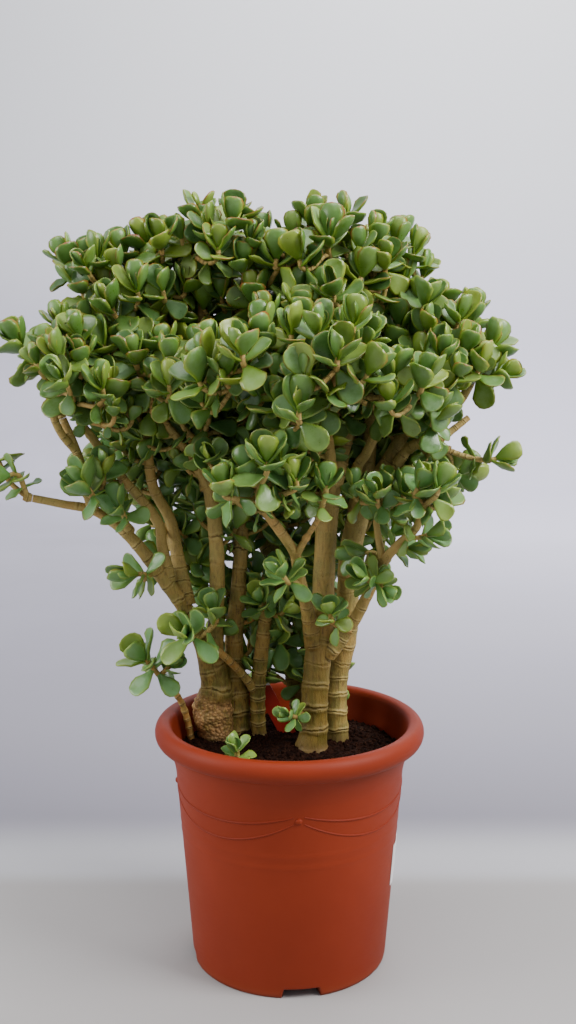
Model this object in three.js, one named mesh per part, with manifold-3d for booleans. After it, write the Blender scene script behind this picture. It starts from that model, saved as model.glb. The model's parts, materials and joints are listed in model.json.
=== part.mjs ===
// A silver dollar plant (a shrubby jade plant with round grey-green leaves) in a plastic nursery pot.
// Millimetres, +Z up. The origin is the centre of the pot's underside, on the ground.
// The plant leans nowhere: +X is its right side and -Y its front.

import * as THREE from 'three';
import * as BufferGeometryUtils from 'three/addons/utils/BufferGeometryUtils.js';
import Module from 'manifold-3d';

const wasm = await Module();
wasm.setup();

// Driving sizes of the pot
const POT_HEIGHT = 302;
const RIM_RADIUS = 165;
const MOUTH_RADIUS = 144.5;
const COLLAR_DEPTH = 26;
const RIM_ROUND = 7;
const SHOULDER_RADIUS = 139.7;
const SHOULDER_HEIGHT = 241;
const FLARE = 7.5;
const BASE_RADIUS = 120.5;
const WALL = 3.5;
const FLOOR_THICKNESS = 4;
const FOOT_HEIGHT = 12;
const FOOT_WIDTH = 18;
const PAD_RADIUS = 62;
const FOOT_SLOPE = 4;
const NOTCH_COUNT = 4;
const NOTCH_WIDTH = 44;
const NOTCH_TURN = 0.07;
const DRAIN_COUNT = 6;
const DRAIN_RADIUS = 7;
const POT_SIDES = 32;

// Driving sizes of the soil, the tag and the label
const SOIL_LEVEL = 262;
const SOIL_SWELL = 5;
const SOIL_RISE = 3;
const SOIL_RINGS = [105, 55];
const GAP = 0.3;
const SMOOTH_OUT = 0.3;
const TAG_SIZE = [20, 1.2, 74];
const TAG_LEAN = -28;
const TAG_MIDDLE = [-18, 62, 290];
const LABEL_SIZE = [46, 0.6, 60];
const LABEL_MIDDLE = 119;
const LABEL_ANGLE = 3;

// Driving sizes of the plant
const CROWN_AXIS = [0, 20];
const CROWN_REACH = 300;
const CROWN_MIDDLE = 650;
const TWIG_RADIUS = 3.2;
const BUD_RADIUS = 3.5;
const BUD_LENGTH = 13;
const KNUCKLE = 1.25;
const STEM_LAP = 5;
const LEAF_THICKNESS = 3.2;
const LEAF_CURL = 0.16;
const LEAF_CUP = 0.07;
const LEAF_ATTEMPTS = 5;
const SMALL_LEAF = 37;

// A leaf's corners as shares of its length: how far from the root, and half its width there.
const BLADE_CORNERS = [[0, 0], [0.5, 0.34], [0.96, 0.2]];
const BLADE_MIDDLE = 0.6;

// Leaf pairs of a rosette, outermost first: angle from the stalk in degrees, share of the leaf length,
// and how far the pair sits below the growing tip in millimetres.
const LEAF_PAIRS = [
  { spread: 66, share: 0.97, drop: 10 },
  { spread: 38, share: 1, drop: 3.5 },
];

// The woody frame. Each limb has a name, the stem it is part of, the points that it passes through
// as x, y, z and radius, and the rosettes that its end carries as x, y, z and leaf length, with
// a direction after these where a rosette doesn't just lean outwards.
const LIMBS = [
  // front stem
  ['front_trunk', 'front', [[27, -5, 205, 19], [27, -5, 262, 20], [30, -5, 290, 17], [31, -5, 325, 16],
    [35, -5, 385, 16], [40, -5, 425, 14], [41, -5, 475, 13], [45, -10, 555, 13], [50, -10, 597, 12]], []],
  ['front_bough', 'front', [[50, -10, 588, 7.5], [46, -45, 640, 6], [40, -80, 680, 5.2],
    [47, -115, 722, 4.8]],
    [[50, -160, 745, 40], [30, -140, 770, 36], [68, -120, 780, 34]]],
  ['front_spur', 'front', [[45, -50, 643, 4.6], [30, -90, 652, 4.4], [20, -118, 665, 4]],
    [[10, -165, 690, 40], [-14, -135, 698, 32]]],
  ['front_rise', 'front', [[50, -10, 590, 11], [65, 0, 645, 10], [75, 5, 685, 9], [85, 5, 725, 8],
    [94, 5, 775, 6.5], [100, 2, 812, 5]],
    [[98, 0, 880, 34], [82, -34, 835, 36], [124, 14, 874, 34]]],
  ['front_peak', 'front', [[75, 4, 680, 7], [66, 0, 750, 6.5], [56, -5, 810, 5.5], [50, -5, 842, 5]],
    [[45, -32, 875, 42], [66, 20, 903, 38], [24, 10, 900, 36]]],
  ['front_sweep', 'front', [[65, 0, 645, 7], [42, 5, 690, 6.5], [32, 10, 755, 6], [32, 8, 820, 5.5],
    [14, 0, 848, 5]],
    [[-15, -32, 855, 38], [5, 6, 878, 36], [-30, 27, 883, 32]]],
  ['front_reach', 'front', [[42, 4, 690, 6], [22, -45, 720, 5.5], [6, -86, 743, 5]],
    [[2, -132, 770, 34], [-22, -108, 752, 32]]],
  ['low_left', 'front', [[30, -10, 395, 10], [20, -30, 450, 7.6], [10, -48, 495, 6.4], [5, -60, 520, 6],
    [-15, -90, 555, 5.6], [-33, -113, 583, 4.8]],
    [[-25, -150, 635, 38], [-70, -138, 606, 34], [6, -130, 614, 30]]],
  ['low_left_slim', 'front', [[7, -58, 515, 4], [17, -72, 535, 3.8]], [[40, -112, 604, 30]]],
  ['low_left_bud', 'front', [[15, -40, 475, 4], [3, -56, 484, 3.8]], [[-8, -80, 497, 32, -0.5, -0.4, 0.8]]],
  ['low_right', 'front', [[46, -8, 385, 9.5], [75, -20, 425, 7.6], [92, -32, 462, 6.6], [110, -45, 505, 5.9],
    [127, -60, 530, 5.2], [143, -78, 550, 4.6], [150, -90, 575, 4.2]],
    [[143, -106, 602, 34], [170, -82, 586, 34], [163, -124, 604, 30]]],
  ['low_right_rise', 'front', [[110, -44, 502, 4.5], [103, -34, 540, 4], [101, -30, 568, 3.8]],
    [[110, -52, 592, 32], [130, -64, 590, 34]]],
  ['low_right_bud', 'front', [[73, -20, 417, 4], [62, -36, 424, 3.8]], [[48, -62, 448, 30, -0.1, -0.5, 0.9]]],
  ['low_right_drop', 'front', [[100, -38, 482, 4], [106, -54, 484, 3.8]],
    [[108, -70, 480, 24, 0.6, -0.7, -0.2], [88, -72, 492, 34, -0.5, -0.5, 0.5]]],
  ['front_cross', 'front', [[44, -7, 545, 8], [15, 25, 595, 7.5], [-10, 40, 640, 7], [-35, 45, 670, 6.4],
    [-55, 50, 697, 5.6], [-66, 50, 745, 5], [-70, 46, 790, 4.6]],
    [[-65, 16, 862, 34], [-40, -15, 812, 36]]],
  ['front_cross_spur', 'front', [[-10, 38, 640, 6], [-20, 0, 677, 5.5], [-30, -50, 708, 5.5],
    [-36, -86, 724, 5]],
    [[-50, -150, 750, 38], [-66, -128, 725, 34], [-86, -84, 755, 34]]],
  ['front_sprig', 'front', [[20, -12, 308, 4.5], [6, -27, 314, 3.5]], [[0, -42, 318, 24, -0.6, -0.6, 0.4]]],

  // right stem
  ['right_trunk', 'right', [[62, 32, 205, 14], [61, 32, 262, 14], [58, 32, 300, 14.5], [60, 32, 345, 13.5],
    [70, 27, 395, 13.5], [72, 26, 445, 13.5], [74, 22, 500, 13.5], [85, 15, 560, 14], [88, 12, 588, 13]],
    []],
  ['right_inner', 'right', [[86, 12, 580, 7.5], [80, -6, 610, 6.6], [90, -20, 630, 5.8], [102, -34, 657, 5.2],
    [117, -45, 677, 4.8], [130, -52, 690, 4.4]],
    [[146, -115, 720, 36], [115, -96, 727, 34], [165, -84, 702, 34]]],
  ['right_bough', 'right', [[88, 14, 578, 10.5], [106, 20, 597, 9.4], [130, 25, 635, 8.4], [145, 30, 665, 7.4],
    [156, 32, 690, 6.6], [165, 35, 727, 5.8], [169, 35, 778, 4.8]],
    [[170, 14, 802, 38], [160, 36, 838, 32], [148, 26, 864, 34], [132, 50, 884, 32]]],
  ['right_low', 'right', [[95, 12, 585, 8], [120, 4, 602, 7.2], [135, 2, 625, 6.4], [146, 0, 638, 5.6],
    [165, -4, 636, 4.8], [181, -6, 634, 4.2]],
    [[247, -10, 624, 34, 1, 0, 0.25]]],
  ['right_broken', 'right', [[166, -2, 636, 5], [190, 6, 652, 4.5], [214, 12, 670, 3.5]], []],
  ['right_far', 'right', [[155, 30, 688, 7], [170, 12, 681, 6], [186, 0, 677, 5.5], [200, -5, 690, 5.5],
    [210, -6, 706, 5], [215, -6, 718, 5]],
    [[235, -12, 752, 38], [198, -44, 752, 36], [212, 8, 790, 36], [240, -36, 724, 32, 0.8, -0.4, 0.4]]],
  ['right_rise', 'right', [[88, 14, 578, 10], [96, 25, 625, 9], [98, 27, 660, 8.5], [107, 28, 700, 8],
    [114, 27, 740, 6.5], [116, 24, 768, 5]],
    [[110, 4, 802, 32], [134, 14, 830, 34]]],
  ['right_spur', 'right', [[142, 1, 634, 6], [154, -14, 645, 4.5]],
    [[167, -32, 660, 34], [165, -74, 682, 34]]],

  // left stem, with the second trunk and the long limb that grow from its swollen base
  ['left_trunk', 'left', [[-66, 54, 205, 15], [-66, 54, 262, 16], [-67, 54, 300, 16], [-69, 52, 350, 12.5],
    [-70, 50, 390, 11.2], [-66, 50, 430, 10.2], [-63, 50, 470, 9.3], [-60, 56, 520, 8.6],
    [-61, 66, 570, 8], [-66, 76, 635, 7.5], [-77, 82, 710, 6.6], [-90, 84, 768, 5.5]],
    [[-86, 96, 826, 32], [-132, 92, 820, 32], [-52, 88, 838, 34]]],
  ['left_second', 'left', [[-93, 44, 205, 17], [-93, 44, 262, 19], [-97, 44, 286, 25], [-96, 42, 308, 23],
    [-91, 39, 334, 17], [-93, 33, 385, 10.5], [-90, 28, 445, 9.6], [-89, 26, 495, 9.2],
    [-92, 24, 545, 8.8], [-98, 18, 590, 8], [-103, 8, 615, 6.4], [-105, 0, 634, 5.6]],
    [[-96, -30, 682, 34], [-126, -20, 672, 30], [-94, -52, 628, 32, 0.1, -0.8, 0.5]]],
  ['left_second_rise', 'left', [[-98, 20, 582, 9], [-108, 42, 640, 8.5], [-110, 48, 690, 7.5],
    [-107, 42, 750, 6.5], [-104, 32, 805, 5.5], [-103, 26, 843, 5]],
    [[-106, 14, 908, 38], [-124, -4, 880, 34], [-84, 16, 896, 32]]],
  ['left_second_out', 'left', [[-99, 16, 588, 6], [-117, 9, 620, 5.4], [-135, 5, 648, 5], [-150, 0, 668, 4.6],
    [-163, -9, 698, 4.4]],
    [[-160, -52, 716, 36], [-176, -62, 744, 34], [-140, -38, 752, 36]]],
  ['left_limb', 'left', [[-92, 42, 312, 14], [-107, 28, 382, 10.8], [-129, 12, 438, 9.8], [-154, 2, 477, 8.6],
    [-175, -5, 509, 7.6], [-202, -13, 541, 6.6], [-233, -20, 563, 5.6], [-265, -29, 571, 5],
    [-300, -35, 579, 4.5]],
    [[-350, -28, 638, 32], [-324, -52, 608, 28, -0.8, -0.5, 0.1]]],
  ['left_fork', 'left', [[-146, 6, 472, 7], [-154, 5, 515, 6.5], [-160, 0, 550, 6], [-200, -10, 602, 5.4],
    [-239, -23, 660, 4.8]],
    [[-252, -64, 716, 40], [-214, -38, 756, 36], [-237, -48, 686, 24]]],
  ['left_back_fork', 'left', [[-126, 14, 440, 9.5], [-138, 28, 500, 8], [-146, 31, 542, 7],
    [-166, 22, 587, 6.2], [-175, 15, 652, 5.8], [-195, 11, 681, 5.4], [-214, 5, 718, 5]],
    [[-204, -14, 770, 38], [-236, -16, 776, 34]]],
  ['left_crest', 'left', [[-203, 10, 690, 5.5], [-220, 26, 735, 5.5], [-229, 30, 772, 5]],
    [[-210, 6, 816, 36], [-246, 2, 826, 34], [-234, 27, 856, 32], [-262, 14, 854, 34]]],
  ['left_top', 'left', [[-175, 15, 652, 6], [-162, 26, 680, 6], [-153, 30, 720, 6], [-150, 30, 765, 5.5],
    [-152, 27, 803, 5]],
    [[-160, 8, 842, 36], [-166, 27, 876, 36], [-196, 20, 862, 36]]],
  ['left_thin', 'left', [[-231, -19, 566, 6], [-236, -25, 590, 5.5], [-242, -30, 615, 5], [-251, -35, 645, 5],
    [-262, -36, 672, 4.5]],
    [[-268, -64, 752, 34], [-262, -30, 778, 32]]],
  ['left_thinner', 'left', [[-248, -33, 635, 4.5], [-262, -46, 655, 4.5], [-270, -58, 682, 4.5],
    [-274, -58, 712, 4]],
    [[-305, -52, 758, 38], [-280, -90, 738, 24]]],
  ['left_limb_bud', 'left', [[-234, -22, 568, 5.5], [-236, -33, 580, 4.5]], [[-233, -54, 596, 40]]],
  ['left_limb_sprig', 'left', [[-191, -11, 537, 5.5], [-193, -24, 546, 4.5]], [[-198, -42, 570, 34]]],
  ['left_limb_drop', 'left', [[-158, 0, 490, 6], [-168, -14, 484, 4.5]],
    [[-182, -28, 487, 38, -0.9, -0.5, 0.1]]],

  // short stem between the front and the left one
  ['short_trunk', 'short', [[-39, 45, 212, 10], [-39, 45, 262, 10], [-40, 44, 290, 9.5], [-40, 42, 325, 9.5],
    [-36, 40, 365, 9], [-32, 38, 400, 8.5], [-30, 36, 420, 8]],
    [[-34, 22, 442, 32, -0.2, -0.5, 0.8], [-6, 14, 432, 32, 0.7, -0.4, 0.5]]],
  ['short_arm', 'short', [[-40, 42, 318, 5.8], [-58, 30, 347, 5], [-79, 14, 374, 4.6], [-95, 2, 390, 4.4],
    [-106, -10, 400, 4.2]],
    [[-122, -38, 416, 44, -0.3, -0.8, 0.4], [-92, -14, 438, 34]]],

  // back stem
  ['back_trunk', 'back', [[14, 88, 205, 12], [14, 88, 262, 12], [10, 90, 310, 11.5], [-2, 92, 360, 11],
    [-16, 96, 420, 10.5], [-18, 104, 480, 10]], []],
  ['back_left', 'back', [[-18, 103, 475, 9], [-52, 134, 532, 8], [-86, 166, 590, 7], [-104, 186, 640, 5.5]],
    [[-128, 208, 690, 34], [-92, 224, 704, 36], [-146, 182, 648, 32]]],
  ['back_rise', 'back', [[-18, 103, 475, 9], [-6, 128, 560, 8.5], [-4, 146, 640, 8], [-12, 158, 715, 6.5],
    [-16, 160, 770, 5]],
    [[-30, 176, 826, 36], [16, 182, 806, 34]]],
  ['back_right', 'back', [[-7, 125, 552, 8], [28, 164, 602, 7], [56, 194, 642, 6], [72, 210, 680, 5]],
    [[88, 232, 720, 36], [54, 236, 696, 34], [108, 208, 684, 34]]],
  ['back_far_left', 'back', [[-52, 134, 530, 7], [-112, 150, 552, 6.5], [-162, 158, 582, 5.5],
    [-188, 160, 608, 5]],
    [[-218, 160, 648, 34], [-184, 190, 654, 34]]],
  ['back_low', 'back', [[0, 92, 362, 7], [24, 128, 410, 6], [36, 152, 450, 5.5], [40, 166, 482, 5]],
    [[16, 184, 520, 34], [62, 174, 512, 34]]],

  // limbs that the side stems send to the back
  ['right_back', 'right', [[76, 24, 512, 9], [88, 62, 545, 8.5], [112, 108, 585, 8], [138, 146, 632, 6.5],
    [156, 162, 678, 5]],
    [[170, 178, 726, 36], [140, 194, 736, 34], [196, 160, 742, 34]]],
  ['right_back_low', 'right', [[108, 102, 578, 7], [142, 120, 592, 6.5], [166, 124, 624, 5.5],
    [174, 126, 654, 5]],
    [[188, 142, 694, 36], [180, 98, 688, 34]]],
  ['right_back_top', 'right', [[106, 28, 695, 8], [102, 72, 736, 6.5], [98, 104, 782, 5]],
    [[78, 122, 840, 36], [126, 112, 816, 34]]],
  ['left_back', 'left', [[-61, 64, 565, 9], [-104, 104, 622, 7.5], [-142, 124, 682, 6.5],
    [-160, 130, 734, 5]],
    [[-176, 146, 780, 36], [-142, 160, 784, 34], [-200, 118, 752, 34]]],
  ['left_back_low', 'left', [[-138, 30, 505, 6.5], [-180, 62, 560, 6], [-212, 84, 616, 5.4], [-222, 92, 656, 5]],
    [[-232, 112, 706, 36], [-250, 78, 678, 34]]],
  ['left_back_top', 'left', [[-75, 80, 700, 7], [-64, 118, 746, 6], [-62, 136, 790, 5]],
    [[-48, 142, 852, 36], [-94, 138, 830, 34]]],
];

// The offshoot by the pot's left wall and the seedling in the soil are leafy stems of their own.
const LEAFY_STEMS = [
  ['offshoot', [[-122, 32, 222, 4.6], [-124, 32, 262, 4.6], [-130, 29, 295, 4.2], [-138, 25, 318, 4],
    [-152, 19, 338, 3.8], [-163, 12, 354, 3.6]],
    [[-176, -3, 376, 42, -0.6, -0.3, 0.8], [-146, 4, 366, 26, 0.6, -0.4, 0.6]]],
  ['seedling', [[-62, -56, 240, 3.2], [-62, -56, 262, 3.2], [-62, -58, 272, 3]],
    [[-62, -62, 282, 26, 0, -0.3, 1]]],
];

// A small repeatable stream of numbers from 0 to 1
class Draws {
  constructor(seed) {
    this.state = seed;
    for (let i = 0; i < 4; i++) this.next();
  }

  next() {
    this.state = (this.state * 1664525 + 1013904223) % 4294967296;
    return this.state / 4294967296;
  }

  around(reach) {
    return (this.next() * 2 - 1) * reach;
  }
}

// Solids and their clearance

function toSolid(geometry) {
  const bare = geometry.clone();
  bare.deleteAttribute('normal');
  bare.deleteAttribute('uv');
  const merged = BufferGeometryUtils.mergeVertices(bare, 1e-5);
  const vertProperties = new Float32Array(merged.attributes.position.array);
  const triVerts = new Uint32Array(merged.index.array);
  return new wasm.Manifold(new wasm.Mesh({ numProp: 3, vertProperties, triVerts }));
}

function toGeometry(solid) {
  const mesh = solid.getMesh();
  const geometry = new THREE.BufferGeometry();
  geometry.setAttribute('position', new THREE.BufferAttribute(mesh.vertProperties, 3));
  geometry.setIndex(new THREE.BufferAttribute(mesh.triVerts, 1));
  geometry.computeVertexNormals();
  return geometry;
}

// Joins solids into one, without the corners that lie on a flat face or on a straight edge.
function joined(solids) {
  return solids.reduce((whole, next) => whole.add(next)).asOriginal().simplify(SMOOTH_OUT);
}

function piece(geometry) {
  geometry.computeBoundingBox();
  return { box: geometry.boundingBox, solid: toSolid(geometry) };
}

function crosses(candidate, others) {
  return others.some((other) => candidate.box.intersectsBox(other.box)
    && !candidate.solid.intersect(other.solid).isEmpty());
}

// Limbs and twigs: a cylinder bent along its points, with the radius of each point

function bentStick(points, radii, sides, grow = 0, turn = 0) {
  const rows = points.length - 1;
  const geometry = new THREE.CylinderGeometry(1, 1, 1, sides, rows);
  const frames = stickFrames(points, turn);
  const position = geometry.attributes.position;
  for (let i = 0; i < position.count; i++) {
    const row = Math.round((0.5 - position.getY(i)) * rows);
    const frame = frames[row];
    const radius = radii[row] + grow;
    const place = points[row].clone()
      .addScaledVector(frame.side, position.getX(i) * radius)
      .addScaledVector(frame.front, position.getZ(i) * radius);
    if (row === 0) place.addScaledVector(frame.along, -grow);
    if (row === rows) place.addScaledVector(frame.along, grow);
    position.setXYZ(i, place.x, place.y, place.z);
  }
  return geometry;
}

function stickFrames(points, turn = 0) {
  let side = new THREE.Vector3(Math.cos(turn), Math.sin(turn), 0);
  return points.map((point, i) => {
    const before = points[Math.max(i - 1, 0)];
    const after = points[Math.min(i + 1, points.length - 1)];
    const along = after.clone().sub(before).normalize();
    if (i === 0 && Math.abs(side.dot(along)) > 0.9) side.set(0, 0, 1);
    side = side.clone().addScaledVector(along, -side.dot(along)).normalize();
    return { along, side, front: along.clone().cross(side) };
  });
}

function limbSides(radius) {
  if (radius > 13) return 8;
  return radius > 9 ? 6 : 5;
}

function limbGeometry(path, grow = 0) {
  const points = path.map(([x, y, z]) => new THREE.Vector3(x, y, z));
  const radii = path.map((point) => point[3]);
  return bentStick(points, radii, limbSides(radii[1]), grow);
}

function limbEnd(path) {
  const [last, before] = [path[path.length - 1], path[path.length - 2]];
  const place = new THREE.Vector3(...last.slice(0, 3));
  const along = place.clone().sub(new THREE.Vector3(...before.slice(0, 3))).normalize();
  return { place, along, radius: last[3] };
}

// Leaves: a five-sided lens drawn out into a spoon shape

function leafGeometry(root, along, face, length, grow = 0) {
  const geometry = new THREE.SphereGeometry(1, 5, 2);
  const across = along.clone().cross(face);
  const position = geometry.attributes.position;
  for (let i = 0; i < position.count; i++) {
    const [x, y, z] = [position.getX(i), position.getY(i), position.getZ(i)];
    const atPole = Math.abs(y) > 0.5;
    const corner = x < -0.75 ? 0 : x < 0 ? 1 : 2;
    const [station, width] = atPole ? [BLADE_MIDDLE, 0] : BLADE_CORNERS[corner];
    const half = Math.sign(z) * width;
    const cup = atPole || corner === 0 ? 0 : LEAF_CUP;
    const lift = LEAF_CURL * station ** 2 + cup;
    const skin = y * (LEAF_THICKNESS / 2 + grow);
    const place = root.clone()
      .addScaledVector(along, station * length + (corner === 2 && !atPole ? grow : 0))
      .addScaledVector(across, half * length + Math.sign(half) * grow)
      .addScaledVector(face, lift * length + skin);
    position.setXYZ(i, place.x, place.y, place.z);
  }
  return geometry;
}

function rosetteAxis(tip) {
  if (tip.length > 4) return new THREE.Vector3(...tip.slice(4)).normalize();
  const lowness = Math.max(0, (CROWN_MIDDLE - tip[2]) / CROWN_REACH);
  const lean = (0.55 + 0.5 * lowness) / CROWN_REACH;
  return new THREE.Vector3((tip[0] - CROWN_AXIS[0]) * lean, (tip[1] - CROWN_AXIS[1]) * lean, 1).normalize();
}

// The two leaves of a pair stand across from each other, and each pair is turned by a right angle
// to the one below it. A leaf that would cross something is tried again with its next draws.
function rosetteLeaf(bud, tip, pairNumber, turn, draws) {
  const pair = LEAF_PAIRS[pairNumber];
  const azimuth = THREE.MathUtils.degToRad(45 + pairNumber * 90 + turn + draws.around(9));
  const spread = THREE.MathUtils.degToRad(pair.spread + draws.around(12));
  const length = tip[3] * pair.share * (1 + draws.around(0.1));
  const outward = bud.side.clone().multiplyScalar(Math.cos(azimuth))
    .addScaledVector(bud.front, Math.sin(azimuth));
  const along = bud.along.clone().multiplyScalar(Math.cos(spread))
    .addScaledVector(outward, Math.sin(spread));
  const face = bud.along.clone().multiplyScalar(Math.sin(spread))
    .addScaledVector(outward, -Math.cos(spread));
  const root = bud.top.clone().addScaledVector(bud.along, -pair.drop);
  return { root, along, face, length };
}

// A twig runs from the end of its limb to a rosette, where it ends in a straight square bud that
// the leaves grow from. Where it would cross another piece it is bent aside a little.

const TWIG_BENDS = [[0, 0], [9, 0], [-9, 0], [0, 9], [0, -9], [18, 0], [-18, 0], [0, 18], [0, -18]];

function twigRoute(start, tip, bend) {
  const top = new THREE.Vector3(...tip.slice(0, 3));
  const axis = rosetteAxis(tip);
  const budFoot = top.clone().addScaledVector(axis, -BUD_LENGTH);
  const distance = budFoot.distanceTo(start.place);
  const side = new THREE.Vector3(0, 0, 1).cross(start.along).normalize();
  const shift = side.clone().multiplyScalar(bend[0]).addScaledVector(side.clone().cross(start.along), bend[1]);
  const first = start.place.clone().addScaledVector(start.along, distance * 0.35).add(shift);
  const second = budFoot.clone().addScaledVector(axis, -distance * 0.35).add(shift);
  const curve = new THREE.CubicBezierCurve3(start.place, first, second, budFoot);
  const middle = distance > 90 ? [curve.getPoint(0.35), curve.getPoint(0.7)] : [curve.getPoint(0.5)];
  return distance > 45 ? [start.place, ...middle, budFoot, top] : [start.place, budFoot, top];
}

function twigGeometry(route, turn, grow = 0) {
  const radii = route.map((point, i) => (i < route.length - 2 ? TWIG_RADIUS : BUD_RADIUS));
  return bentStick(route, radii, 4, grow, turn);
}

function budFrame(route, turn) {
  const frames = stickFrames(route, turn);
  return { ...frames[frames.length - 1], top: route[route.length - 1] };
}

// Pot, soil, tag and label

function wallRadius(z) {
  return THREE.MathUtils.lerp(BASE_RADIUS, SHOULDER_RADIUS, z / SHOULDER_HEIGHT);
}

function potSolid() {
  const collarFoot = POT_HEIGHT - COLLAR_DEPTH;
  const floorTop = FOOT_HEIGHT + FLOOR_THICKNESS;
  const footInner = BASE_RADIUS - FOOT_WIDTH;
  const profile = [
    [0, 0], [PAD_RADIUS, 0], [PAD_RADIUS + FOOT_SLOPE, FOOT_HEIGHT], [footInner - FOOT_SLOPE, FOOT_HEIGHT],
    [footInner, 0], [BASE_RADIUS, 0], [SHOULDER_RADIUS, SHOULDER_HEIGHT],
    [SHOULDER_RADIUS + FLARE, collarFoot - RIM_ROUND], [RIM_RADIUS - RIM_ROUND, collarFoot],
    [RIM_RADIUS, collarFoot + RIM_ROUND], [RIM_RADIUS, POT_HEIGHT - RIM_ROUND],
    [RIM_RADIUS - RIM_ROUND, POT_HEIGHT], [MOUTH_RADIUS + RIM_ROUND, POT_HEIGHT],
    [MOUTH_RADIUS, POT_HEIGHT - RIM_ROUND], [wallRadius(collarFoot) - WALL, collarFoot - RIM_ROUND],
    [wallRadius(floorTop) - WALL, floorTop], [0, floorTop],
  ].map(([r, z]) => new THREE.Vector2(r, z));
  let pot = toSolid(new THREE.LatheGeometry(profile, POT_SIDES).rotateX(Math.PI / 2));
  for (let i = 0; i < NOTCH_COUNT; i++) {
    const notch = new THREE.BoxGeometry(NOTCH_WIDTH, FOOT_WIDTH * 2, FOOT_HEIGHT * 2);
    notch.translate(0, -BASE_RADIUS, 0).rotateZ((2 * Math.PI * (i + NOTCH_TURN)) / NOTCH_COUNT);
    pot = pot.subtract(toSolid(notch));
  }
  for (let i = 0; i < DRAIN_COUNT; i++) {
    const drain = new THREE.CylinderGeometry(DRAIN_RADIUS, DRAIN_RADIUS, 40, 8).rotateX(Math.PI / 2);
    drain.translate(0, -(PAD_RADIUS + footInner) / 2, floorTop).rotateZ((2 * Math.PI * (i + 0.5)) / DRAIN_COUNT);
    pot = pot.subtract(toSolid(drain));
  }
  return joined([pot]);
}

function soilSolid(roots) {
  const bottom = FOOT_HEIGHT + FLOOR_THICKNESS + GAP;
  const edgeTop = SOIL_LEVEL - SOIL_RISE;
  const inset = WALL + GAP;
  const profile = [
    [0, bottom], [wallRadius(bottom) - inset, bottom], [wallRadius(edgeTop) - inset - 1, edgeTop],
    [SOIL_RINGS[0], SOIL_LEVEL], [SOIL_RINGS[1], SOIL_LEVEL + SOIL_RISE], [0, SOIL_LEVEL + SOIL_RISE],
  ].map(([r, z]) => new THREE.Vector2(r, z));
  const geometry = new THREE.LatheGeometry(profile, POT_SIDES).rotateX(Math.PI / 2);
  const position = geometry.attributes.position;
  for (let i = 0; i < position.count; i++) {
    const [x, y, z] = [position.getX(i), position.getY(i), position.getZ(i)];
    const inner = z > edgeTop + 1 && Math.hypot(x, y) > 1;
    const swell = inner ? SOIL_SWELL * Math.sin(x / 23 + 1) * Math.cos(y / 19) : 0;
    position.setZ(i, z + swell);
  }
  return joined([roots.reduce((soil, root) => soil.subtract(root), toSolid(geometry))]);
}

function tagGeometry(grow = 0) {
  const [width, thickness, height] = TAG_SIZE.map((size) => size + 2 * grow);
  return new THREE.BoxGeometry(width, thickness, height)
    .rotateY(THREE.MathUtils.degToRad(TAG_LEAN)).translate(...TAG_MIDDLE);
}

function labelGeometry() {
  const [width, thickness, height] = LABEL_SIZE;
  const geometry = new THREE.BoxGeometry(width, thickness, height, 6, 1, 1);
  const position = geometry.attributes.position;
  for (let i = 0; i < position.count; i++) {
    const z = LABEL_MIDDLE + position.getZ(i);
    const radius = wallRadius(z) + GAP + thickness / 2 + position.getY(i);
    const angle = THREE.MathUtils.degToRad(LABEL_ANGLE) - position.getX(i) / wallRadius(LABEL_MIDDLE);
    position.setXYZ(i, radius * Math.cos(angle), radius * Math.sin(angle), z);
  }
  return geometry;
}

// Materials

function material(colour, roughness) {
  return new THREE.MeshStandardMaterial({ color: colour, roughness, metalness: 0 });
}

const TERRACOTTA_PLASTIC = material(0xb4492c, 0.5);
const EARTH = material(0x2a1c16, 0.95);
const BARK = material(0x9a8450, 0.75);
const LEAF_GREEN = material(0x5f8a4e, 0.45);
const TAG_RED = material(0xa01c12, 0.45);
const LABEL_WHITE = material(0xe8e8e4, 0.55);

// Assembly

const plant = new THREE.Group();

function place(name, solid, finish) {
  const mesh = new THREE.Mesh(toGeometry(solid), finish);
  mesh.name = name;
  plant.add(mesh);
}

function buildStems() {
  const names = [...new Set(LIMBS.map(([, stem]) => stem))];
  for (const stem of names) {
    const limbs = LIMBS.filter((limb) => limb[1] === stem);
    place(`stem_${stem}`, joined(limbs.map((limb) => toSolid(limbGeometry(limb[2])))), BARK);
  }
}

function buildSprays() {
  const wood = LIMBS.map((limb) => piece(limbGeometry(limb[2], GAP)));
  const fixed = [...wood, piece(tagGeometry(GAP)), { box: potBox(), solid: potSolid() }];
  const sprays = [
    ...LIMBS.filter((limb) => limb[3].length > 0).map(limbSpray),
    ...LEAFY_STEMS.map(stemSpray),
  ];
  const placed = sprays.flatMap((spray) => spray.stalk.map((item) => ({ ...item, owner: spray })));
  const others = (spray) => [...fixed, ...placed.filter((item) => item.owner !== spray)];
  for (const spray of sprays) {
    const barriers = others(spray);
    for (const tip of spray.tips) addTwig(spray, tip, barriers, placed);
  }
  LEAF_PAIRS.forEach((pair, pairNumber) => {
    for (const spray of sprays) {
      for (const rosette of spray.rosettes) {
        const barriers = [...fixed, ...placed.filter((item) => item.owner !== rosette && item !== rosette.twig)];
        const turns = pairNumber === 0 && rosette.tip[3] < SMALL_LEAF ? [0] : [0, 180];
        for (const turn of turns) addLeaf(spray, rosette, pairNumber, turn, barriers, placed);
      }
    }
  });
  for (const spray of sprays) place(`spray_${spray.name}`, joined(spray.parts), LEAF_GREEN);
}

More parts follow.
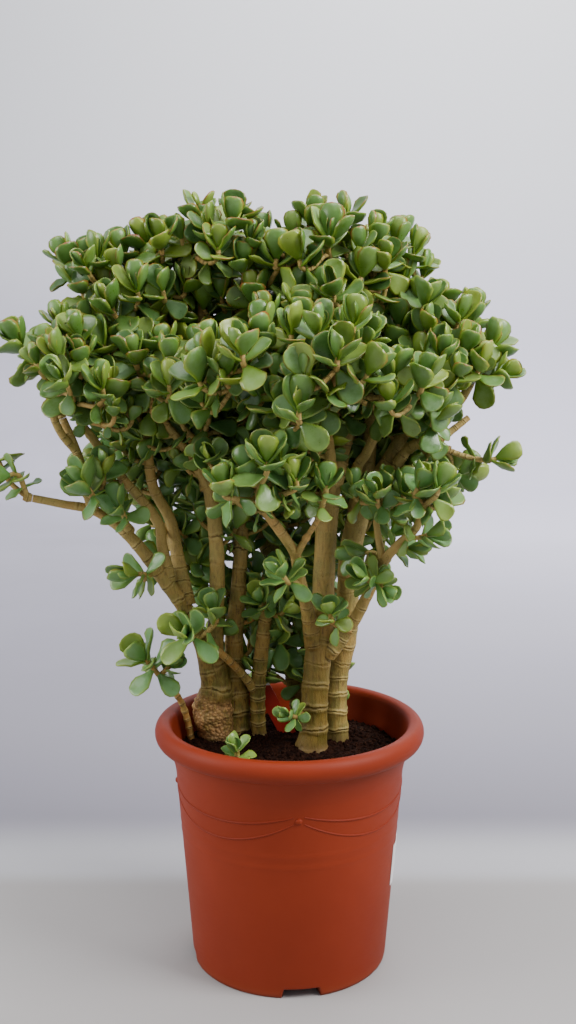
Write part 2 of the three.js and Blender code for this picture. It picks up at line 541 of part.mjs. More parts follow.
function addTwig(spray, tip, barriers, placed) {
  const turn = THREE.MathUtils.degToRad(new Draws(tipSeed(tip)).next() * 90);
  const routes = TWIG_BENDS.map((bend) => twigRoute(spray.start, tip, bend));
  const route = routes.find((option) => !crosses(piece(twigGeometry(option, turn, GAP)), barriers));
  if (!route) return;
  const twig = { ...piece(twigGeometry(route, turn)), owner: spray };
  placed.push(twig);
  spray.parts.push(twig.solid);
  spray.rosettes.push({ tip, twig, bud: budFrame(route, turn) });
}

function addLeaf(spray, rosette, pairNumber, turn, barriers, placed) {
  const { tip, bud } = rosette;
  const draws = new Draws(tipSeed(tip) + 31 * pairNumber + turn);
  for (let attempt = 0; attempt < LEAF_ATTEMPTS; attempt++) {
    const { root, along, face, length } = rosetteLeaf(bud, tip, pairNumber, turn, draws);
    if (crosses(piece(leafGeometry(root, along, face, length, GAP)), barriers)) continue;
    const leaf = { ...piece(leafGeometry(root, along, face, length)), owner: rosette };
    placed.push(leaf);
    spray.parts.push(leaf.solid);
    return;
  }
}

function potBox() {
  const corner = new THREE.Vector3(RIM_RADIUS, RIM_RADIUS, POT_HEIGHT);
  return new THREE.Box3(corner.clone().negate(), corner);
}

function tipSeed(tip) {
  return Math.abs(Math.round(tip[0] * 7919 + tip[1] * 104729 + tip[2] * 1299709)) % 1000003;
}

function limbSpray([name, , path, tips]) {
  const end = limbEnd(path);
  const size = end.radius * KNUCKLE;
  const start = { place: end.place.clone().addScaledVector(end.along, size + GAP), along: end.along };
  const turned = new THREE.Quaternion().setFromUnitVectors(new THREE.Vector3(0, 1, 0), end.along);
  const knuckle = new THREE.OctahedronGeometry(size).applyQuaternion(turned)
    .translate(start.place.x, start.place.y, start.place.z);
  return newSpray(name, start, tips, knuckle);
}

function stemSpray([name, path, tips]) {
  const end = limbEnd(path);
  const start = { place: end.place.clone().addScaledVector(end.along, -STEM_LAP), along: end.along };
  return newSpray(name, start, tips, limbGeometry(path));
}

function newSpray(name, start, tips, stalk) {
  const base = piece(stalk);
  return { name, start, tips, rosettes: [], parts: [base.solid], stalk: [base] };
}

function rootHoles() {
  const rooted = [...LIMBS.map((limb) => limb[2]), ...LEAFY_STEMS.map((stem) => stem[1])];
  return rooted.filter((path) => path[0][2] < SOIL_LEVEL).map((path) => toSolid(limbGeometry(path, GAP)));
}

place('pot', potSolid(), TERRACOTTA_PLASTIC);
place('soil', soilSolid([...rootHoles(), toSolid(tagGeometry(GAP))]), EARTH);
place('plant_tag', toSolid(tagGeometry()), TAG_RED);
place('blank_label', toSolid(labelGeometry()), LABEL_WHITE);
buildStems();
buildSprays();

export default plant;
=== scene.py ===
"""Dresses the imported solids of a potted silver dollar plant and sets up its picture.

The solids hold the plant's stems and its first rosettes. This script grows the same stems, twigs and
rosettes again with bark, round waxy leaves and further small shoots, turns the pot with its garlands,
fills it with crumbly soil, and lights the whole as a plain studio picture.

Lengths are metres, except in the tables of limbs, which are in millimetres.
"""

import json
import logging
import math
from dataclasses import dataclass, field, replace
from enum import Enum
from typing import Sequence

import bmesh
import bpy
from mathutils import Matrix, Quaternion, Vector, kdtree

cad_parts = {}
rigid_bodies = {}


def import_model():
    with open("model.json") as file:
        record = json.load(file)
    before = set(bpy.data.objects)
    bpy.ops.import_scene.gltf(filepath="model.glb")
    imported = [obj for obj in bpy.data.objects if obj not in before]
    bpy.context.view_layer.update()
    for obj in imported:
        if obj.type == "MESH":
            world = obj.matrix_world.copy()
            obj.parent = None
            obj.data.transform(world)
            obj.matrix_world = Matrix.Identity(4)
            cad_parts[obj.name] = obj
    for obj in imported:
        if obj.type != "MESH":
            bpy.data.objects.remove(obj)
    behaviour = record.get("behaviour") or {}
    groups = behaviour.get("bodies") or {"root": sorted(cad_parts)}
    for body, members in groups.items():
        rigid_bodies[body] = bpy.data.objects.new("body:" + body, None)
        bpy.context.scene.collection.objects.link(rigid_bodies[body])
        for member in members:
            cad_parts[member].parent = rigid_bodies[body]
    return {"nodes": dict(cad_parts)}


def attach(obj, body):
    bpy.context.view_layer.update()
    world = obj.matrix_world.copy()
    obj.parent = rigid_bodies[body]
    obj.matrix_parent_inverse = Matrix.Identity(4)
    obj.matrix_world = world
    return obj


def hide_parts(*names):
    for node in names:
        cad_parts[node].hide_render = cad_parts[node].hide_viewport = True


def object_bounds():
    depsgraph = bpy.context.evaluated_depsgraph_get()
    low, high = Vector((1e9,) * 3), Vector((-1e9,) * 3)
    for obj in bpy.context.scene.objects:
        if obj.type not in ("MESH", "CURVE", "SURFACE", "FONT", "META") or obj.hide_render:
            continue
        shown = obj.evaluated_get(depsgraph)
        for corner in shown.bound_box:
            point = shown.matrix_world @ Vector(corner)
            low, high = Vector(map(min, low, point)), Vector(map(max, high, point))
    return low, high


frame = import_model()
FRAME_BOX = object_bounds()

log = logging.getLogger("plant")
logging.basicConfig(level=logging.INFO, format="%(message)s")

Pair = tuple[float, float]
Point = tuple[float, float, float]
Colour = Point
Rows = Sequence[Sequence[float]]
Socket = bpy.types.NodeSocket

MM = 0.001
ROOT = "root"

# The ring scars run all round below the first of these heights and come in patches above the second.
RINGED_FOOT = (0.30, 0.40)
# The bark turns warty where a stem's radius passes from the first to the second of these.
WARTY_GIRTH = (0.0185, 0.0225)
# How far the warts stand out, and how much higher than elsewhere the scars are at the trunks' foot.
WART_HEIGHT = 0.0036
FOOT_RINGS = 1.6

# The woody frame, as in the solids. Each limb has a name, the stem it is part of, the points that it
# passes through as x, y, z and radius, and the rosettes that its end carries as x, y, z and leaf
# length, with a direction after these where a rosette doesn't just lean outwards.
LIMBS = (
  # front stem
  ("front_trunk", "front", ((27, -5, 205, 19), (27, -5, 262, 20), (30, -5, 290, 17), (31, -5, 325, 16),
    (35, -5, 385, 16), (40, -5, 425, 14), (41, -5, 475, 13), (45, -10, 555, 13), (50, -10, 597, 12)), ()),
  ("front_bough", "front", ((50, -10, 588, 7.5), (46, -45, 640, 6), (40, -80, 680, 5.2),
    (47, -115, 722, 4.8)),
    ((50, -160, 745, 40), (30, -140, 770, 36), (68, -120, 780, 34))),
  ("front_spur", "front", ((45, -50, 643, 4.6), (30, -90, 652, 4.4), (20, -118, 665, 4)),
    ((10, -165, 690, 40), (-14, -135, 698, 32))),
  ("front_rise", "front", ((50, -10, 590, 11), (65, 0, 645, 10), (75, 5, 685, 9), (85, 5, 725, 8),
    (94, 5, 775, 6.5), (100, 2, 812, 5)),
    ((98, 0, 880, 34), (82, -34, 835, 36), (124, 14, 874, 34))),
  ("front_peak", "front", ((75, 4, 680, 7), (66, 0, 750, 6.5), (56, -5, 810, 5.5), (50, -5, 842, 5)),
    ((45, -32, 875, 42), (66, 20, 903, 38), (24, 10, 900, 36))),
  ("front_sweep", "front", ((65, 0, 645, 7), (42, 5, 690, 6.5), (32, 10, 755, 6), (32, 8, 820, 5.5),
    (14, 0, 848, 5)),
    ((-15, -32, 855, 38), (5, 6, 878, 36), (-30, 27, 883, 32))),
  ("front_reach", "front", ((42, 4, 690, 6), (22, -45, 720, 5.5), (6, -86, 743, 5)),
    ((2, -132, 770, 34), (-22, -108, 752, 32))),
  ("low_left", "front", ((30, -10, 395, 10), (20, -30, 450, 7.6), (10, -48, 495, 6.4), (5, -60, 520, 6),
    (-15, -90, 555, 5.6), (-33, -113, 583, 4.8)),
    ((-25, -150, 635, 38), (-70, -138, 606, 34), (6, -130, 614, 30))),
  ("low_left_slim", "front", ((7, -58, 515, 4), (17, -72, 535, 3.8)), ((40, -112, 604, 30),)),
  ("low_left_bud", "front", ((15, -40, 475, 4), (3, -56, 484, 3.8)), ((-8, -80, 497, 32, -0.5, -0.4, 0.8),)),
  ("low_right", "front", ((46, -8, 385, 9.5), (75, -20, 425, 7.6), (92, -32, 462, 6.6), (110, -45, 505, 5.9),
    (127, -60, 530, 5.2), (143, -78, 550, 4.6), (150, -90, 575, 4.2)),
    ((143, -106, 602, 34), (170, -82, 586, 34), (163, -124, 604, 30))),
  ("low_right_rise", "front", ((110, -44, 502, 4.5), (103, -34, 540, 4), (101, -30, 568, 3.8)),
    ((110, -52, 592, 32), (130, -64, 590, 34))),
  ("low_right_bud", "front", ((73, -20, 417, 4), (62, -36, 424, 3.8)),
    ((48, -62, 448, 30, -0.1, -0.5, 0.9),)),
  ("low_right_drop", "front", ((100, -38, 482, 4), (106, -54, 484, 3.8)),
    ((108, -70, 480, 24, 0.6, -0.7, -0.2), (88, -72, 492, 34, -0.5, -0.5, 0.5))),
  ("front_cross", "front", ((44, -7, 545, 8), (15, 25, 595, 7.5), (-10, 40, 640, 7), (-35, 45, 670, 6.4),
    (-55, 50, 697, 5.6), (-66, 50, 745, 5), (-70, 46, 790, 4.6)),
    ((-65, 16, 862, 34), (-40, -15, 812, 36))),
  ("front_cross_spur", "front", ((-10, 38, 640, 6), (-20, 0, 677, 5.5), (-30, -50, 708, 5.5),
    (-36, -86, 724, 5)),
    ((-50, -150, 750, 38), (-66, -128, 725, 34), (-86, -84, 755, 34))),
  ("front_sprig", "front", ((20, -12, 308, 4.5), (6, -27, 314, 3.5)), ((0, -42, 318, 24, -0.6, -0.6, 0.4),)),

  # right stem
  ("right_trunk", "right", ((62, 32, 205, 14), (61, 32, 262, 14), (58, 32, 300, 14.5), (60, 32, 345, 13.5),
    (70, 27, 395, 13.5), (72, 26, 445, 13.5), (74, 22, 500, 13.5), (85, 15, 560, 14), (88, 12, 588, 13)),
    ()),
  ("right_inner", "right", ((86, 12, 580, 7.5), (80, -6, 610, 6.6), (90, -20, 630, 5.8), (102, -34, 657, 5.2),
    (117, -45, 677, 4.8), (130, -52, 690, 4.4)),
    ((146, -115, 720, 36), (115, -96, 727, 34), (165, -84, 702, 34))),
  ("right_bough", "right", ((88, 14, 578, 10.5), (106, 20, 597, 9.4), (130, 25, 635, 8.4),
    (145, 30, 665, 7.4), (156, 32, 690, 6.6), (165, 35, 727, 5.8), (169, 35, 778, 4.8)),
    ((170, 14, 802, 38), (160, 36, 838, 32), (148, 26, 864, 34), (132, 50, 884, 32))),
  ("right_low", "right", ((95, 12, 585, 8), (120, 4, 602, 7.2), (135, 2, 625, 6.4), (146, 0, 638, 5.6),
    (165, -4, 636, 4.8), (181, -6, 634, 4.2)),
    ((247, -10, 624, 34, 1, 0, 0.25),)),
  ("right_broken", "right", ((166, -2, 636, 5), (190, 6, 652, 4.5), (214, 12, 670, 3.5)), ()),
  ("right_far", "right", ((155, 30, 688, 7), (170, 12, 681, 6), (186, 0, 677, 5.5), (200, -5, 690, 5.5),
    (210, -6, 706, 5), (215, -6, 718, 5)),
    ((235, -12, 752, 38), (198, -44, 752, 36), (212, 8, 790, 36), (240, -36, 724, 32, 0.8, -0.4, 0.4))),
  ("right_rise", "right", ((88, 14, 578, 10), (96, 25, 625, 9), (98, 27, 660, 8.5), (107, 28, 700, 8),
    (114, 27, 740, 6.5), (116, 24, 768, 5)),
    ((110, 4, 802, 32), (134, 14, 830, 34))),
  ("right_spur", "right", ((142, 1, 634, 6), (154, -14, 645, 4.5)),
    ((167, -32, 660, 34), (165, -74, 682, 34))),

  # left stem, with the second trunk and the long limb that grow from its swollen base
  ("left_trunk", "left", ((-66, 54, 205, 15), (-66, 54, 262, 16), (-67, 54, 300, 16), (-69, 52, 350, 12.5),
    (-70, 50, 390, 11.2), (-66, 50, 430, 10.2), (-63, 50, 470, 9.3), (-60, 56, 520, 8.6),
    (-61, 66, 570, 8), (-66, 76, 635, 7.5), (-77, 82, 710, 6.6), (-90, 84, 768, 5.5)),
    ((-86, 96, 826, 32), (-132, 92, 820, 32), (-52, 88, 838, 34))),
  ("left_second", "left", ((-93, 44, 205, 20), (-93, 44, 262, 22), (-96, 44, 286, 24.5), (-96, 42, 308, 23),
    (-91, 39, 334, 17), (-93, 33, 385, 10.5), (-90, 28, 445, 9.6), (-89, 26, 495, 9.2),
    (-92, 24, 545, 8.8), (-98, 18, 590, 8), (-103, 8, 615, 6.4), (-105, 0, 634, 5.6)),
    ((-96, -30, 682, 34), (-126, -20, 672, 30), (-94, -52, 628, 32, 0.1, -0.8, 0.5))),
  ("left_second_rise", "left", ((-98, 20, 582, 9), (-108, 42, 640, 8.5), (-110, 48, 690, 7.5),
    (-107, 42, 750, 6.5), (-104, 32, 805, 5.5), (-103, 26, 843, 5)),
    ((-106, 14, 908, 38), (-124, -4, 880, 34), (-84, 16, 896, 32))),
  ("left_second_out", "left", ((-99, 16, 588, 6), (-117, 9, 620, 5.4), (-135, 5, 648, 5), (-150, 0, 668, 4.6),
    (-163, -9, 698, 4.4)),
    ((-160, -52, 716, 36), (-176, -62, 744, 34), (-140, -38, 752, 36))),
  ("left_limb", "left", ((-92, 42, 312, 14), (-107, 28, 382, 10.8), (-129, 12, 438, 9.8), (-154, 2, 477, 8.6),
    (-175, -5, 509, 7.6), (-202, -13, 541, 6.6), (-233, -20, 563, 5.6), (-265, -29, 571, 5),
    (-300, -35, 579, 4.5)),
    ((-350, -28, 638, 32), (-324, -52, 608, 28, -0.8, -0.5, 0.1))),
  ("left_fork", "left", ((-146, 6, 472, 7), (-154, 5, 515, 6.5), (-160, 0, 550, 6), (-200, -10, 602, 5.4),
    (-239, -23, 660, 4.8)),
    ((-252, -64, 716, 40), (-214, -38, 756, 36), (-237, -48, 686, 24))),
  ("left_back_fork", "left", ((-126, 14, 440, 9.5), (-138, 28, 500, 8), (-146, 31, 542, 7),
    (-166, 22, 587, 6.2), (-175, 15, 652, 5.8), (-195, 11, 681, 5.4), (-214, 5, 718, 5)),
    ((-204, -14, 770, 38), (-236, -16, 776, 34))),
  ("left_crest", "left", ((-203, 10, 690, 5.5), (-220, 26, 735, 5.5), (-229, 30, 772, 5)),
    ((-210, 6, 816, 36), (-246, 2, 826, 34), (-234, 27, 856, 32), (-262, 14, 854, 34))),
  ("left_top", "left", ((-175, 15, 652, 6), (-162, 26, 680, 6), (-153, 30, 720, 6), (-150, 30, 765, 5.5),
    (-152, 27, 803, 5)),
    ((-160, 8, 842, 36), (-166, 27, 876, 36), (-196, 20, 862, 36))),
  ("left_thin", "left", ((-231, -19, 566, 6), (-236, -25, 590, 5.5), (-242, -30, 615, 5), (-251, -35, 645, 5),
    (-262, -36, 672, 4.5)),
    ((-268, -64, 752, 34), (-262, -30, 778, 32))),
  ("left_thinner", "left", ((-248, -33, 635, 4.5), (-262, -46, 655, 4.5), (-270, -58, 682, 4.5),
    (-274, -58, 712, 4)),
    ((-305, -52, 758, 38), (-280, -90, 738, 24))),
  ("left_limb_bud", "left", ((-234, -22, 568, 5.5), (-236, -33, 580, 4.5)), ((-233, -54, 596, 40),)),
  ("left_limb_sprig", "left", ((-191, -11, 537, 5.5), (-193, -24, 546, 4.5)), ((-198, -42, 570, 34),)),
  ("left_limb_drop", "left", ((-158, 0, 490, 6), (-168, -14, 484, 4.5)),
    ((-182, -28, 487, 38, -0.9, -0.5, 0.1),)),

  # short stem between the front and the left one
  ("short_trunk", "short", ((-39, 45, 212, 10), (-39, 45, 262, 10), (-40, 44, 290, 9.5), (-40, 42, 325, 9.5),
    (-36, 40, 365, 9), (-32, 38, 400, 8.5), (-30, 36, 420, 8)),
    ((-34, 22, 442, 32, -0.2, -0.5, 0.8), (-6, 14, 432, 32, 0.7, -0.4, 0.5))),
  ("short_arm", "short", ((-40, 42, 318, 5.8), (-58, 30, 347, 5), (-79, 14, 374, 4.6), (-95, 2, 390, 4.4),
    (-106, -10, 400, 4.2)),
    ((-122, -38, 416, 44, -0.3, -0.8, 0.4), (-92, -14, 438, 34))),

  # back stem
  ("back_trunk", "back", ((14, 88, 205, 12), (14, 88, 262, 12), (10, 90, 310, 11.5), (-2, 92, 360, 11),
    (-16, 96, 420, 10.5), (-18, 104, 480, 10)), ()),
  ("back_left", "back", ((-18, 103, 475, 9), (-52, 134, 532, 8), (-86, 166, 590, 7), (-104, 186, 640, 5.5)),
    ((-128, 208, 690, 34), (-92, 224, 704, 36), (-146, 182, 648, 32))),
  ("back_rise", "back", ((-18, 103, 475, 9), (-6, 128, 560, 8.5), (-4, 146, 640, 8), (-12, 158, 715, 6.5),
    (-16, 160, 770, 5)),
    ((-30, 176, 826, 36), (16, 182, 806, 34))),
  ("back_right", "back", ((-7, 125, 552, 8), (28, 164, 602, 7), (56, 194, 642, 6), (72, 210, 680, 5)),
    ((88, 232, 720, 36), (54, 236, 696, 34), (108, 208, 684, 34))),
  ("back_far_left", "back", ((-52, 134, 530, 7), (-112, 150, 552, 6.5), (-162, 158, 582, 5.5),
    (-188, 160, 608, 5)),
    ((-218, 160, 648, 34), (-184, 190, 654, 34))),
  ("back_low", "back", ((0, 92, 362, 7), (24, 128, 410, 6), (36, 152, 450, 5.5), (40, 166, 482, 5)),
    ((16, 184, 520, 34), (62, 174, 512, 34))),

  # limbs that the side stems send to the back
  ("right_back", "right", ((76, 24, 512, 9), (88, 62, 545, 8.5), (112, 108, 585, 8), (138, 146, 632, 6.5),
    (156, 162, 678, 5)),
    ((170, 178, 726, 36), (140, 194, 736, 34), (196, 160, 742, 34))),
  ("right_back_low", "right", ((108, 102, 578, 7), (142, 120, 592, 6.5), (166, 124, 624, 5.5),
    (174, 126, 654, 5)),
    ((188, 142, 694, 36), (180, 98, 688, 34))),
  ("right_back_top", "right", ((106, 28, 695, 8), (102, 72, 736, 6.5), (98, 104, 782, 5)),
    ((78, 122, 840, 36), (126, 112, 816, 34))),
  ("left_back", "left", ((-61, 64, 565, 9), (-104, 104, 622, 7.5), (-142, 124, 682, 6.5),
    (-160, 130, 734, 5)),
    ((-176, 146, 780, 36), (-142, 160, 784, 34), (-200, 118, 752, 34))),
  ("left_back_low", "left", ((-138, 30, 505, 6.5), (-180, 62, 560, 6), (-212, 84, 616, 5.4),
    (-222, 92, 656, 5)),
    ((-232, 112, 706, 36), (-250, 78, 678, 34))),
  ("left_back_top", "left", ((-75, 80, 700, 7), (-64, 118, 746, 6), (-62, 136, 790, 5)),
    ((-48, 142, 852, 36), (-94, 138, 830, 34))),
)

# The offshoot by the pot's left wall and the seedling in the soil are leafy stems of their own.
LEAFY_STEMS = (
  ("offshoot", ((-122, 32, 222, 4.6), (-124, 32, 262, 4.6), (-130, 29, 295, 4.2), (-138, 25, 318, 4),
    (-152, 19, 338, 3.8), (-163, 12, 354, 3.6)),
    ((-176, -3, 376, 42, -0.6, -0.3, 0.8), (-146, 4, 366, 26, 0.6, -0.4, 0.6))),
  ("seedling", ((-62, -56, 240, 3.2), (-62, -56, 262, 3.2), (-62, -58, 272, 3)),
    ((-62, -62, 282, 26, 0, -0.3, 1),)),
)

# Smaller rosettes on the way of a limb: the limb's name, the share of its length, and x, y, z, leaf
# length and direction.
EXTRA_ROSETTES = (
  ("low_right", 0.78, (158, -84, 544, 30, 0.8, -0.5, 0.3)),
  ("low_right", 0.62, (140, -48, 522, 28, 0.8, -0.2, 0.1)),
  ("low_right", 0.5, (86, -30, 512, 36, -0.9, -0.4, -0.1)),
  ("low_right_rise", 0.7, (124, -22, 572, 32, 0.7, 0.1, 0.8)),
  ("right_low", 0.3, (140, -28, 600, 32, 0.3, -0.5, 0.8)),
  ("right_low", 0.2, (128, 22, 560, 34, 0.6, 0.1, 0.4)),
  ("right_low", 0.45, (152, 14, 594, 34, 0.6, 0.3, 0.3)),
  ("right_low", 0.6, (162, -20, 606, 30, 0.5, -0.4, 0.6)),
  ("left_back_fork", 0.3, (-136, 62, 520, 38, -0.4, -0.6, 0.5)),
  ("left_back_fork", 0.15, (-112, 58, 484, 38, 0.3, -0.6, 0.6)),
  ("left_trunk", 0.42, (-102, 66, 452, 36, -0.6, -0.4, 0.6)),
  ("left_trunk", 0.3, (-44, 78, 404, 36, 0.5, -0.5, 0.6)),
  ("short_trunk", 0.95, (-44, 14, 430, 34, -0.1, -0.8, 0.5)),
  ("back_trunk", 0.4, (-16, 60, 386, 38, -0.2, -0.8, 0.4)),
  ("back_trunk", 0.55, (-2, 64, 440, 38, 0.2, -0.8, 0.5)),
  ("left_back_fork", 0.35, (-138, 70, 492, 38, -0.3, -0.7, 0.6)),
  ("left_trunk", 0.52, (-112, 82, 505, 38, -0.4, -0.7, 0.6)),
  ("left_trunk", 0.36, (-84, 84, 412, 36, 0.1, -0.8, 0.5)),
  ("back_trunk", 0.3, (-52, 92, 346, 36, -0.4, -0.8, 0.4)),
  ("back_trunk", 0.7, (-48, 84, 462, 38, -0.3, -0.8, 0.4)),
  ("back_trunk", 0.9, (4, 66, 506, 38, 0.3, -0.8, 0.4)),
  ("right_trunk", 0.72, (62, 72, 496, 36, -0.1, -0.6, 0.7)),
  ("right_trunk", 0.66, (100, 66, 484, 34, 0.6, -0.5, 0.5)),
  ("right_back", 0.2, (126, 62, 520, 36, 0.6, -0.6, 0.5)),
)

# Sprays at the edge of the picture's outline that keep only their own rosettes.
BARE_SPRAYS = ("left_limb", "right_low", "low_right", "low_left_slim", "left_limb_bud", "left_limb_sprig")

# Where the crown is open, seen from the front: x, z, radius, and the y in front of which it is.
OPEN_PLACES = (
  (-322, 652, 88, 400), (226, 668, 60, 400), (110, 645, 48, 25), (140, 688, 30, 25), (-246, 657, 45, 30),
  (57, 658, 45, -35), (42, 560, 45, -5), (42, 500, 45, -5), (80, 560, 30, 12), (-88, 540, 35, 26),
  (-90, 490, 35, 26), (118, 380, 62, 400), (-96, 573, 34, 16), (-185, 633, 35, -5), (-90, 655, 34, 0),
  (-43, 672, 28, -10), (93, 652, 40, 10), (134, 628, 34, 10), (-128, 612, 34, 10), (-212, 655, 34, 10),
)


class Slot(Enum):
    """The record's material slots."""

    POT = "terracotta_plastic"
    SOIL = "soil"
    TAG = "red_plastic"
    LABEL = "white_label"
    BARK = "bark"
    LEAF = "leaf"


class Draws:
    """A small repeatable stream of numbers from 0 to 1, the same one that placed the solids' leaves."""

    FACTOR = 1664525
    STEP = 1013904223
    RANGE = 2 ** 32
    WARM_UP = 4

    def __init__(self, seed: int) -> None:
        """Starts the stream.

        Args:
            seed: a whole number that names it.
        """
        self.state = seed
        for _ in range(self.WARM_UP):
            self.next()

    def next(self) -> float:
        """The next number from 0 to 1."""
        self.state = (self.state * self.FACTOR + self.STEP) % self.RANGE
        return self.state / self.RANGE

    def around(self, reach: float) -> float:
        """The next number from -reach to reach."""
        return (self.next() * 2 - 1) * reach

    def between(self, low: float, high: float) -> float:
        """The next number from low to high."""
        return low + (high - low) * self.next()


@dataclass(frozen=True)
class Frame3:
    """A place with three square directions.

    Args:
        place: the point.
        along: the direction in which the stalk runs there.
        side: a direction square to it.
        front: the direction square to both.
    """

    place: Vector
    along: Vector
    side: Vector
    front: Vector


def stick_frames(points: Sequence[Vector], turn: float = 0.0) -> list[Frame3]:
    """Frames that follow a row of points with no more twist than they need.

    Args:
        points: the points of a stick's middle line.
        turn: the angle of the first side direction, in radians.

    Returns:
        A frame for each point.
    """
    side = Vector((math.cos(turn), math.sin(turn), 0.0))
    frames: list[Frame3] = []
    for i, point in enumerate(points):
        before = points[max(i - 1, 0)]
        after = points[min(i + 1, len(points) - 1)]
        along = (after - before).normalized()
        if i == 0 and abs(side.dot(along)) > 0.9:
            side = Vector((0.0, 0.0, 1.0))
        side = (side - along * side.dot(along)).normalized()
        frames.append(Frame3(point, along, side, along.cross(side)))
    return frames


def bezier_point(a: Vector, b: Vector, c: Vector, d: Vector, t: float) -> Vector:
    """The point at the share t of a cubic Bezier curve from a to d with the handles b and c."""
    u = 1 - t
    return a * u ** 3 + b * (3 * u * u * t) + c * (3 * u * t * t) + d * t ** 3


@dataclass
class Stick:
    """A limb or a twig as a row of points with a radius at each.

    Args:
        points: the middle line's points.
        radii: the radius at each point.
        knots: how many ring scars there are on each metre.
        flare: how much thicker than its first radius the stick's foot is.
    """

    points: list[Vector]
    radii: list[float]
    knots: float
    flare: float = 1.0

    def length(self) -> float:
        """The length of the middle line."""
        return sum((b - a).length for a, b in zip(self.points, self.points[1:]))

    def at(self, share: float) -> Frame3:
        """The frame at a share of the length.

        Args:
            share: how far along, from 0 to 1.

        Returns:
            A frame on the stick's middle line.
        """
        goal = share * self.length()
        for i, (a, b) in enumerate(zip(self.points, self.points[1:])):
            step = (b - a).length
            if goal <= step or i == len(self.points) - 2:
                return replace(stick_frames([a, b])[0], place=a.lerp(b, min(goal / step, 1.0)))
            goal -= step
        raise ValueError("a stick needs two points")


@dataclass
class Leaf:
    """One leaf.

    Args:
        root, along, face: where it leaves its stalk, its direction and where its upper side looks.
        tone: a number from 0 to 1 that tells it from its neighbours, raised by painted light low in the crown
            and on its right.
        blush, yellow: how red its margin and how yellow the whole leaf is, from 0 to 1.
        age: 0 for the newest pair and 1 for the oldest.
        kind: which of the leaf shapes it takes.
    """

    root: Vector
    along: Vector
    face: Vector
    length: float
    tone: float = 0.5
    blush: float = 0.0
    yellow: float = 0.0
    age: float = 0.5
    kind: int = 0

    def rotation(self) -> Quaternion:
        """The turn that brings the leaf shape's X to along and its Z to face."""
        across = self.face.cross(self.along)
        return Matrix((self.along, across, self.face)).transposed().to_quaternion()

    def roll(self, angle: float) -> None:
        """Turns the leaf about its own length by an angle in radians."""
        self.face = (self.face + self.along.cross(self.face) * math.tan(angle)).normalized()

    def samples(self) -> list[Vector]:
        """A few points in the leaf's middle, for clearance."""
        middle = self.root + self.face * (self.length * 0.06)
        return [middle + self.along * (self.length * share) for share in (0.4, 0.68, 0.95)]

    def outline(self) -> list[Vector]:
        """Points round the leaf, a little outside it."""
        across = self.along.cross(self.face)
        lifted = self.root + self.face * (self.length * 0.30)
        flat = self.root - self.face * (self.length * 0.30)
        points = [base + self.along * (self.length * 1.03) for base in (lifted, flat)]
        for base in (lifted, flat):
            for station, half in ((0.65, 0.42), (0.93, 0.34)):
                middle = base + self.along * (self.length * station)
                points += [middle + across * (self.length * half), middle - across * (self.length * half)]
        return points


@dataclass
class Bud:
    """The straight end of a twig that a rosette's leaves grow from.

    Args:
        top: its end.
        frame: the directions there.
        leaf_length: the length of the rosette's longest leaves.
        seed: the stream of its draws.
        twig: the twig that it ends.
    """

    top: Vector
    frame: Frame3
    leaf_length: float
    seed: int
    twig: Stick

    STRAIGHT = 0.013
    TWIG_FOOT = 0.004

    def stalk(self, drop: float) -> Frame3:
        """The frame from which a leaf grows.

        Args:
            drop: how far below the end it is.

        Returns:
            The bud's own frame moved down its stalk, or the twig's frame below the straight end.
        """
        length = self.twig.length()
        if drop <= self.STRAIGHT or drop > length - self.TWIG_FOOT:
            return replace(self.frame, place=self.top - self.frame.along * min(drop, self.STRAIGHT))
        found = self.twig.at(1 - drop / length)
        side = (self.frame.side - found.along * self.frame.side.dot(found.along)).normalized()
        return Frame3(found.place, found.along, side, found.along.cross(side))


@dataclass
class Spray:
    """What grows from one limb's end: twigs, buds and leaves.

    Args:
        name: the limb's name.
        twigs: its sticks.
        buds: its rosettes' buds.
        leaves: its leaves.
    """

    name: str
    twigs: list[Stick] = field(default_factory=list)
    buds: list[Bud] = field(default_factory=list)
    leaves: list[Leaf] = field(default_factory=list)

    def node(self) -> str:
        """The solid that this spray stands for."""
        return f"spray_{self.name}"


@dataclass(frozen=True)
class LeafPair:
    """Two leaves that stand across from each other.

    Args:
        number: the pair's number from below, which turns it by right angles.
        spread: the angle between a leaf and the stalk, in degrees.
        share: its leaves' share of the rosette's leaf length.
        drop: how far below the rosette's top it grows.
        age: 0 for the newest pair and 1 for the oldest.
    """

    number: int
    spread: float
    share: float
    drop: float
    age: float


class Crowd:
    """Keeps the places of wood and leaves, so that new leaves stay clear of them."""

    CELL = 0.012

    def __init__(self) -> None:
        """Starts with nothing in it."""
        self.cells: dict[tuple[int, int, int], list[tuple[Vector, float, int]]] = {}

    def _cell(self, point: Vector) -> tuple[int, int, int]:
        """The cell that holds a point."""
        return tuple(math.floor(value / self.CELL) for value in point)

    def add(self, point: Vector, radius: float, owner: int) -> None:
        """Adds a ball; those with the same owner's number may touch each other."""
        self.cells.setdefault(self._cell(point), []).append((point, radius, owner))

    def blocked(self, point: Vector, radius: float, owner: int) -> bool:
        """Tells whether a ball would touch one of another owner.

        Args:
            point: its middle.
            radius: its radius.
            owner: its owner's number.

        Returns:
            True where it would.
        """
        x, y, z = self._cell(point)
        for i in range(x - 1, x + 2):
            for j in range(y - 1, y + 2):
                for k in range(z - 1, z + 2):
                    for other, reach, other_owner in self.cells.get((i, j, k), ()):
                        if other_owner != owner and (other - point).length < radius + reach:
                            return True
        return False


